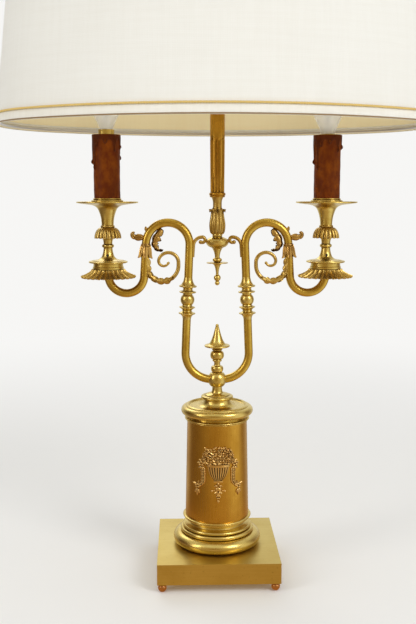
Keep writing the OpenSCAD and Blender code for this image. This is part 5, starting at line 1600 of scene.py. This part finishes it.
    def sleeve(self) -> None:
        """Forms the wax sleeve, with the runs that hang from its lip."""
        r, h = self.sleeve_r, self.sleeve_h
        rows = 86
        outer = [(r, h * (i / rows) ** 0.9) for i in range(rows + 1)]
        outline = [*outer, (r - 0.3, h + 0.5), (r - 1.0, h + 0.5), (r - 1.3, h), (r - 1.3, h / 2),
                   (r - 1.3, 0)]
        shape = Shape().turn(outline, 180, loop=True)

        def waxed(co: Vector) -> Vector:
            """Lays the wax on the sleeve's outside."""
            now = hypot(co.x, co.y)
            if now < r - 0.5:
                return co
            angle = degrees(atan2(co.y, co.x))
            ripple = 0.12 * sin(radians(angle * 5 + co.z * 9)) * sin(co.z * 0.31)
            share = (now + self.wax(angle, min(co.z, h - 0.2)) + ripple) / now
            return Vector((co.x * share, co.y * share, co.z))

        shape.shift(waxed)
        middle = self.side.value * self.x

        def laid(co: Vector) -> float:
            """How thick the wax lies on a point of the sleeve, from 0 to 1."""
            return min(max((hypot(co.x - middle, co.y) - r - 0.1) / 0.9, 0.0), 1.0)

        node = self.side.node("candle_sleeve")
        shape.move(self.at(floor_of(node))).piece(
            self.side.node("wax_sleeve"), WAX, [node], sharp=60, deep=laid)

    def bulb(self) -> None:
        """Blows the clear bulb round its stem, and dresses its cap and its holder."""
        body = self.side.node("bulb")
        keep(TURNED, self.side.node("bulb_cap"))
        keep(IVORY, self.side.node("lampholder"))
        base = top_of(self.side.node("bulb_cap"))
        outer = smooth([(6.6, -4.2), (6.7, 0), (8.6, 6), (13.2, 16), (16.9, 26), (17.4, 33),
                        (15.6, 43), (11.6, 54), (7.2, 63.5), (3.9, 70.5), (1.7, 75.0), (0, 75.9)])
        inner = [(max(x - 0.8, 0), z - (0.8 if z > 40 else 0.0)) for x, z in outer if z > -2.8]
        stem = [(0, 22), (2.2, 21.4), (3.7, 19), (3.9, 6), (4.8, -2.9)]
        glass, cavity = Shape().turn(outer, 64), Shape().turn([*stem, *inner], 64)
        glass.close()
        cavity.inside_out()
        glass.add(cavity, HERE)
        glass.move(self.at(base)).piece(self.side.node("bulb_glass"), GLASS, [body], body=body,
                                        sharp=60, recalc=False)

    def wires(self) -> None:
        """Draws the lead wires and the filament."""
        shape = Shape()
        for sign in (-1, 1):
            rod = Rod(shape, (sign * 0.9, 16), 90 - sign * 6, 0.28, 8)
            rod.run(13, 2).run(6, 2, 0.22).close()
        shape.ball(spot(0, 0, 13.8) @ stretch(1.3, 1.3, 2.2), 2)
        coil = Rod(shape, (-3.0, 35), 62, 0.32, 8)
        coil.bend((0, 33.3), -125, 14).close()
        shape.move(self.at(top_of(self.side.node("bulb_cap")))).piece(
            self.side.node("bulb_wires"), TUNGSTEN, [self.side.node("filament")],
            body=self.side.node("bulb"), sharp=60)

    def build(self) -> None:
        """Builds and dresses the candle, apart from its skirt and its bell."""
        self.cup()
        self.pan()
        self.sleeve()
        self.bulb()
        self.wires()


# ---------------------------------------------------------------- centre stem


@dataclass
class CentreStem:
    """The pendant, bowl, leaf baluster and fluted stem over the branch."""

    flutes: int = 12
    flute_r: float = 1.2
    flute_l: float = 52.0
    ring_h: float = 4.4
    low_r: float = 6.75
    high_r: float = 7.15
    plain_l: float = 36.0
    rim_z: float = 15.6

    def pendant(self) -> None:
        """Turns the pendant with its thin disc."""
        turned([
            *arc((0, -26.0), 2.4, -85, 52), *arc((0, -20.95), 3.45, -58, 64),
            *smooth([(1.4, -17.6), (1.5, -15.0), (2.2, -11.0), (3.6, -8.0), (5.2, -7.0)], 5),
            (8.6, -6.6), *swell(10.3, -6.5, -5.7, 0.4), (8.0, -5.8), (3.4, -5.7), (3.0, -5.2),
            *swell(3.0, -5.0, -1.4, 1.6), (2.5, -1.1), (2.4, 0),
        ], "pendant_turning", "pendant", spot(0, 0, floor_of("centre_bowl")), 72)

    def bowl(self) -> None:
        """Turns the bowl."""
        turned([
            *smooth([(2.45, 0), (2.6, 1.6), (3.3, 4.6), (4.7, 7.6), (5.6, 8.7)]),
            *smooth([(5.9, 8.9), (8.6, 10.1), (10.6, 12.2), (11.35, 14.2), (11.4, 15.2)]),
            *swell(11.2, 15.2, 16.2, 0.4),
            *smooth([(11.2, 16.2), (9.8, 17.4), (7.3, 18.5), (5.2, 19.4)], 6),
            *swell(4.3, 19.5, 22.8, 0.65),
        ], "bowl_turning", "centre_bowl", sharp=50)

    def baluster(self) -> None:
        """Casts the baluster in its sheath of leaves."""
        core = [
            *smooth([(4.7, 0), (5.6, 1.8), (6.4, 6.7), (6.3, 10.4), (5.3, 15.3), (4.4, 19.6)], 6),
            *smooth([(4.35, 20.4), (4.7, 22.6), (4.7, 23.6), (4.35, 24.6)], 4),
            *smooth([(4.35, 26.0), (4.35, 30.0), (4.9, 33.0), (6.0, 35.1)], 6),
        ]
        shape = Shape().turn(core, 72)
        leaf = Leaf(
            0, 6.6, cup=0.24, rib=0.7, root=0.7, widest=0.36, tip=0.3, ribs=5, thick=0.7, rows=44,
            columns=14, line=((4.9, 0.2), (6.3, 2.0), (6.9, 6.7), (6.7, 10.4), (5.8, 15.3),
                              (5.2, 19.4), (5.5, 21.9), (6.3, 23.0), (6.7, 22.2)))
        back = Leaf(
            0, 5.4, cup=0.2, rib=0.5, root=0.7, widest=0.36, tip=0.14, ribs=3, thick=0.5, rows=26,
            columns=8, line=((4.8, 0.4), (6.0, 2.2), (6.5, 6.7), (6.2, 10.4), (5.4, 15.3),
                             (4.9, 18.6), (5.1, 20.4)))
        shape.add(leaf.shape(), *round_copies(6, 30))
        shape.add(back.shape(), *round_copies(6, 60))
        shape.move(spot(0, 0, top_of("centre_bowl"))).piece(
            "leaf_casting", CAST, ["leaf_baluster"], sharp=50, occlusion_reach=2)

    def stem(self) -> None:
        """Turns and flutes the stem."""
        z0, z1 = self.ring_h, self.ring_h + self.flute_l
        rows = 46
        sides = [(self.low_r + (self.high_r - self.low_r) * i / rows,
                  z0 + self.flute_l * i / rows) for i in range(rows + 1)]
        top = z1 + self.plain_l
        outline = [
            *swell(6.9, 0, 1.4, 0.6), *swell(7.1, 1.4, z0, 0.9), (6.8, z0),
            *sides,
            (self.high_r, z1 + 1), (self.high_r, top - 0.5), (self.high_r - 0.5, top), (4.2, top),
        ]
        shape = Shape().turn(outline, 12 * self.flutes)

        def fluted(co: Vector) -> Vector:
            """Cuts the flutes, round at their tops."""
            r = hypot(co.x, co.y)
            if not z0 + 0.01 < co.z < z1 - 0.2 or r < 6.5:
                return co
            pitch = tau / self.flutes
            off = (atan2(co.y, co.x) % pitch - pitch / 2) * r
            over = max(0.0, co.z - (z1 - 2 * self.flute_r))
            reach = self.flute_r ** 2 - off ** 2 - over ** 2
            share = 1 - 0.92 * sqrt(max(reach, 0.0)) / r
            return Vector((co.x * share, co.y * share, co.z))

        shape.shift(fluted)
        shape.move(spot(0, 0, top_of("leaf_baluster"))).piece(
            "fluted_turning", DRUM, ["fluted_stem"], sharp=50)

    def build(self) -> None:
        """Builds and dresses the centre stem."""
        keep(DRUM, "shade_rod")
        self.pendant()
        self.bowl()
        self.baluster()
        self.stem()


# ---------------------------------------------------------------- shade


@dataclass
class OvalShade:
    """The oval shade: cloth over a lining, with tapes, gold braid and its slide."""

    length: float = 420.0
    width: float = 280.0
    height: float = 250.0
    slope: float = 27.0
    skin: float = 1.2
    tape_h: float = 8.6
    braid_r: float = 1.1
    twist: float = 4.6

    def __post_init__(self) -> None:
        """Works out the oval's four arcs: their centres, radii and angles."""
        unit = (self.length - self.width) / 4
        end_r, side_r = self.length / 2 - 3 * unit, self.width / 2 + 4 * unit
        end_a = degrees(atan2(4, 3))
        self.floor = floor_of("shade_skin")
        self.arcs = [
            (Vector((3 * unit, 0)), end_r, -end_a, end_a),
            (Vector((0, -4 * unit)), side_r, end_a, 180 - end_a),
            (Vector((-3 * unit, 0)), end_r, 180 - end_a, 180 + end_a),
            (Vector((0, 4 * unit)), side_r, 180 + end_a, 360 - end_a),
        ]
        self.girth = sum(r * radians(a1 - a0) for _, r, a0, a1 in self.arcs)

    def sweep(self, section: Sequence[Point], step: float = 3.0) -> Shape:
        """Sweeps a closed section round the oval.

        Args:
            section: its points, as (distance beyond the lower rim, height), without the slope.
            step: how many degrees of arc one face takes.

        Returns:
            The swept shape.
        """
        made = Shape()
        centre, r, start, _ = self.arcs[0]
        turn = tilt(start, "Z")
        points = []
        for beyond, z in section:
            out = r + beyond - self.slope * z / self.height
            points.append(spot(centre.x, centre.y, self.floor + z) @ turn @ Vector((out, 0, 0)))
        verts = [made.bm.verts.new(p) for p in points]
        edges = [made.bm.edges.new(pair) for pair in zip(verts, verts[1:] + verts[:1])]
        geom = verts + edges
        for centre, _, a0, a1 in self.arcs:
            geom = bmesh.ops.spin(
                made.bm, geom=geom, cent=(centre.x, centre.y, 0), axis=(0, 0, 1), dvec=(0, 0, 0),
                angle=radians(a1 - a0), steps=round((a1 - a0) / step),
                use_merge=False)["geom_last"]
        return made

    def band(self, z0: float, z1: float, inner: float, outer: float, rows: int,
             round_by: float = 0.0) -> Shape:
        """Sweeps a flat band.

        Args:
            z0: its lower height.
            z1: its upper height.
            inner: its inner face's distance beyond the skin.
            outer: its outer face's distance.
            rows: how many rows of faces it has.
            round_by: how far its corners are rounded.

        Returns:
            The band.
        """
        heights = [z0 + round_by + (z1 - z0 - 2 * round_by) * i / rows for i in range(rows + 1)]
        inwards = [inner + round_by, outer - round_by] if round_by else []
        return self.sweep([
            *[(outer, z) for z in heights],
            *[(x, z1) for x in reversed(inwards)],
            *[(inner, z) for z in reversed(heights)],
            *[(x, z0) for x in inwards],
        ])

    def around(self, co: Vector) -> float:
        """How far round the lower rim a point lies.

        Args:
            co: the point, in metres.

        Returns:
            The distance, in metres.
        """
        gone = 0.0
        x, y = co.x / MM, co.y / MM
        for centre, r, a0, a1 in self.arcs:
            a = (degrees(atan2(y - centre.y, x - centre.x)) - a0) % 360
            if a <= a1 - a0 + 0.01:
                return (gone + r * radians(a)) * MM
            gone += r * radians(a1 - a0)
        return 0.0

    def lay(self, cloth: bpy.types.Object) -> None:
        """Gives a piece of cloth its UV map, in metres along and across it.

        Args:
            cloth: the piece.
        """
        mesh, girth = cloth.data, self.girth * MM
        layer = mesh.uv_layers.new(name="cloth")
        places = [self.around(v.co) for v in mesh.vertices]
        for face in mesh.polygons:
            first = places[face.vertices[0]]
            for i in face.loop_indices:
                v = mesh.loops[i].vertex_index
                near = places[v] + girth * round((first - places[v]) / girth)
                layer.data[i].uv = (near, mesh.vertices[v].co.z)

    def braid(self) -> bpy.types.Object:
        """Twists the gold braid above the lower tape.

        Returns:
            The piece.
        """
        r, z, fine = self.braid_r, self.tape_h + self.braid_r, 9
        strands, total = Shape(), round(self.girth / self.twist) * fine
        for strand in range(2):
            curve = bpy.data.curves.new("strand", "CURVE")
            curve.dimensions, curve.bevel_depth, curve.bevel_resolution = "3D", r * 0.56, 1
            line = curve.splines.new("POLY")
            line.points.add(total - 1)
            for i in range(total):
                a = tau * i / fine + pi * strand
                rise = z + r * 0.44 * sin(a)
                beyond = r + 0.05 + r * 0.44 * cos(a) - self.slope * rise / self.height
                at = self.rim_point(self.girth * i / total, beyond)
                line.points[i].co = (at.x, at.y, self.floor + rise, 1)
            line.use_cyclic_u = True
            rope = bpy.data.objects.new("strand", curve)
            mesh = bpy.data.meshes.new_from_object(rope)
            strands.bm.from_mesh(mesh)
            bpy.data.objects.remove(rope)
            bpy.data.curves.remove(curve)
            bpy.data.meshes.remove(mesh)
        return strands.piece("twisted_braid", GOLD, ["gold_braid"], body="shade", sharp=80)

    def rim_point(self, gone: float, beyond: float) -> Vector:
        """A point round the rim.

        Args:
            gone: how far round the lower rim it is.
            beyond: how far it lies beyond the rim.

        Returns:
            The point, in X and Y.
        """
        for centre, r, a0, a1 in self.arcs:
            long = r * radians(a1 - a0)
            if gone <= long:
                return centre + heading(a0 + degrees(gone / r)) * (r + beyond)
            gone -= long
        return self.rim_point(0.0, beyond)

    def build(self) -> None:
        """Builds and dresses the shade and what carries it."""
        keep(STEEL, "shade_frame", "shade_spider")
        keep(TURNED, "slide_sleeve", "thumb_screw", "shade_ring_nut", "rod_finial")
        h, t, bound = self.height, self.skin, self.tape_h
        cloth = self.band(0, h, -0.55, 0, 30).piece(
            "shade_cloth", SHADE_CLOTH, ["shade_skin"], body="shade", sharp=50)
        lining = self.band(0.4, h - 0.4, -t, -0.62, 30).piece(
            "shade_lining", LINING, ["shade_skin"], body="shade", sharp=50)
        tapes = self.band(1.5, bound, 0.02, 0.5, 3, 0.12)
        tapes.add(self.band(h - bound, h, 0.02, 0.5, 3, 0.12), HERE)
        tapes.add(self.band(1.5, bound * 0.8, -t - 0.4, -t - 0.03, 3, 0.1), HERE)
        tape = tapes.piece("binding_tape", TAPE, ["shade_tapes"], body="shade", sharp=50)
        for piece in (cloth, lining, tape):
            self.lay(piece)
        rim = [(0.62 * cos(a) - 0.25, 0.85 + 0.78 * sin(a)) for a in turns(0, 324, 9)]
        piping = self.sweep(rim).piece("rim_piping", PIPING, body="shade", sharp=80)
        braid = self.braid()


# ---------------------------------------------------------------- studio


@dataclass(frozen=True)
class Lamp:
    """A soft lamp that points at a height on the axis, in metres and watts."""

    name: str
    place: Triple
    aim: float
    size: Point
    power: float
    colour: Colour = (1, 1, 1)
    mirrored: bool = True

    def hang(self) -> None:
        """Hangs the lamp."""
        data = bpy.data.lights.new(self.name, "AREA")
        data.shape, data.energy, data.color = "RECTANGLE", self.power, self.colour
        data.size, data.size_y = self.size
        made = placed(self.name, data)
        way = Vector((0, 0, self.aim)) - Vector(self.place)
        made.location, made.rotation_euler = self.place, way.to_track_quat("-Z", "Y").to_euler()
        made.visible_glossy = self.mirrored


LAMPS = (
    Lamp("key", (1.15, -1.2, 1.4), 0.3, (0.7, 0.9), 12),
    Lamp("low", (0.2, -1.7, 0.12), 0.46, (0.8, 0.2), 3, (1.0, 0.96, 0.88), False),
    Lamp("fill", (-1.5, -0.8, 1.0), 0.3, (0.5, 1.2), 6, (1.0, 0.97, 0.92)),
    Lamp("rim", (-0.5, 1.5, 1.4), 0.35, (1.2, 0.8), 5),
)


@dataclass
class Studio:
    """The floor, the lamps, the world and the camera."""

    eye: Triple = (-0.035, -0.8514, 0.3821)
    dip: float = 7.8
    swing: float = -1.74
    floor_r: float = 6.0
    pale: Colour = (0.93, 0.925, 0.91)
    # under: the brown that mirrors see on the floor under the lamp, a painted reflection
    under: Colour = (0.56, 0.31, 0.07)
    # near, far: painted reflections, bands of light and dark that mirrors see on the floor round
    # the lamp; far also colours the world's walls
    near: tuple[Stop, ...] = (
        (0.04, (0.2, 0.08, 0.02)), (0.1, (0.7, 0.62, 0.45)), (0.14, (0.6, 0.5, 0.33)),
        (0.19, (0.16, 0.07, 0.02)), (0.36, (0.2, 0.1, 0.03)), (0.46, (0.55, 0.38, 0.16)),
        (0.58, (0.6, 0.42, 0.2)), (0.66, (1.0, 0.95, 0.8)), (0.73, (1.0, 0.95, 0.8)),
        (0.8, (0.36, 0.22, 0.08)), (0.9, (0.7, 0.62, 0.45)), (0.96, (0.2, 0.08, 0.02)),
    )
    far: tuple[Stop, ...] = (
        (0.0, (0.85, 0.84, 0.78)), (0.1, (0.8, 0.79, 0.74)), (0.18, (0.1, 0.05, 0.015)),
        (0.3, (0.2, 0.11, 0.04)), (0.37, (0.62, 0.5, 0.28)), (0.44, (0.42, 0.28, 0.1)),
        (0.5, (0.36, 0.23, 0.08)), (0.55, (0.7, 0.58, 0.34)), (0.61, (0.7, 0.58, 0.34)),
        (0.66, (0.95, 0.9, 0.75)), (0.73, (0.95, 0.9, 0.75)), (0.8, (0.2, 0.11, 0.04)),
        (0.93, (0.85, 0.84, 0.78)),
    )

    @staticmethod
    def around(paint: Paint, place: Value, stops: Sequence[Stop]) -> Value:
        """Colours round the lamp, from the back over its left to the front and on."""
        x, y = (paint.node("SeparateXYZ", {0: place}, out=axis) for axis in "XY")
        return paint.ramp(x.math("ARCTAN2", y * -1.0) / tau + 0.5, stops)

    def floor(self) -> None:
        """Lays the pale floor, which fades into the background and glows for mirrors with a
        painted reflection of a room.
        """
        shape = bmesh.new()
        bmesh.ops.create_circle(shape, cap_ends=True, segments=ROUND, radius=self.floor_r)
        mesh = bpy.data.meshes.new("floor")
        shape.to_mesh(mesh)
        shape.free()
        made = placed("floor", mesh)
        material = bpy.data.materials.new("pale_floor")
        paint = Paint(material)
        place = paint.place()
        away = paint.node("VectorMath", {0: place}, out=1, operation="LENGTH")
        grain = paint.noise(place, 30, 3, 0.5)
        colour = paint.mix(grain * 0.25, self.pale, tuple(0.97 * c for c in self.pale))
        matt = paint.node("BsdfDiffuse", {"Color": colour})
        camera, gloss, through = paint.rays()
        # painted reflection: mirrors see the floor glow with a made-up room, bands round the lamp
        # and brown under it
        room = paint.mix(away.span(0.45, 1.0), self.around(paint, place, self.near),
                         self.around(paint, place, self.far))
        room = paint.mix(away.span(0.16, 0.26), self.under, room)
        backdrop_and_reflection = paint.mix(gloss, self.pale, room)
        glow = paint.node("Emission", {"Color": backdrop_and_reflection, "Strength": 1.0})
        seen = (camera + gloss + through).math("MINIMUM", 1.0)
        share = (away.span(0.35, 1.5) * seen).math("MAXIMUM", gloss * 0.85)
        both = paint.node("MixShader", {0: share, 1: matt, 2: glow})
        paint.node("OutputMaterial", {"Surface": both})
        mesh.materials.append(material)

    def world(self) -> None:
        """Fills the room with soft light, and with a darker side for the brass to mirror."""
        world = bpy.data.worlds.new("studio")
        bpy.context.scene.world = world
        paint = Paint(world)
        way = paint.node("TexCoord", out="Generated")
        z = paint.node("SeparateXYZ", {0: way}, out="Z")
        walls = self.around(paint, way, self.far)
        mirrored = paint.mix(z.span(0.4, 0.8), walls, (0.8, 0.77, 0.68))
        camera, gloss, through = paint.rays()
        room = paint.mix(gloss, (0.62, 0.62, 0.61), mirrored)
        colour = paint.mix(camera + through, room, self.pale)
        shade = paint.node("Background", {"Color": colour, "Strength": 1.0})
        paint.node("OutputWorld", {"Surface": shade})

    def camera(self) -> None:
        """Sets the camera a little to the left of the lamp, looking slightly down."""
        data = bpy.data.cameras.new("camera")
        data.lens, data.sensor_width, data.clip_start = 50, 36, 0.01
        made = placed("camera", data)
        made.location = self.eye
        made.rotation_euler = (radians(90 - self.dip), 0, radians(self.swing))
        bpy.context.scene.camera = made

    def build(self) -> None:
        """Sets up the studio."""
        bpy.context.scene.view_settings.view_transform = "Standard"
        self.camera()
        self.floor()
        self.world()
        for lamp in LAMPS:
            lamp.hang()


def main() -> None:
    """Builds the lamp, piece by piece, and reports each one."""
    logging.basicConfig(level=logging.INFO, format="%(message)s")
    Studio().build()
    column, hub, stem = Column(), Hub(), CentreStem()
    hub_z = (floor_of("hub_ball") + hub.neck_h + top_of("hub_ball")) / 2
    branch = Branch(hub_z, floor_of("centre_bowl") + stem.rim_z)
    candles = [Candle(side) for side in Side]
    for part in (Base(), column, BasketRelief(column), hub, branch, *candles):
        part.build()
    bells, skirts = Shape(), Shape()
    for candle in candles:
        bells.add(candle.bell(), candle.at(floor_of("gadroon_bells")))
        skirts.add(candle.skirt(), candle.at(floor_of(candle.side.node("candle_cup"))))
    bells.piece("lobed_bells", CAST, ["gadroon_bells"], sharp=50, occlusion_reach=2)
    skirts.piece("skirt_leaves", CAST, ["leaf_skirts"], sharp=50, occlusion_reach=3)
    keep(STEEL, "candle_nipples")
    keep(DARK_STEEL, "cup_set_screws")
    stem.build()
    OvalShade().build()
    for piece in PIECES:
        log.info("%s: %d faces", piece.name, len(piece.data.polygons))


if __name__ == "__main__":
    main()
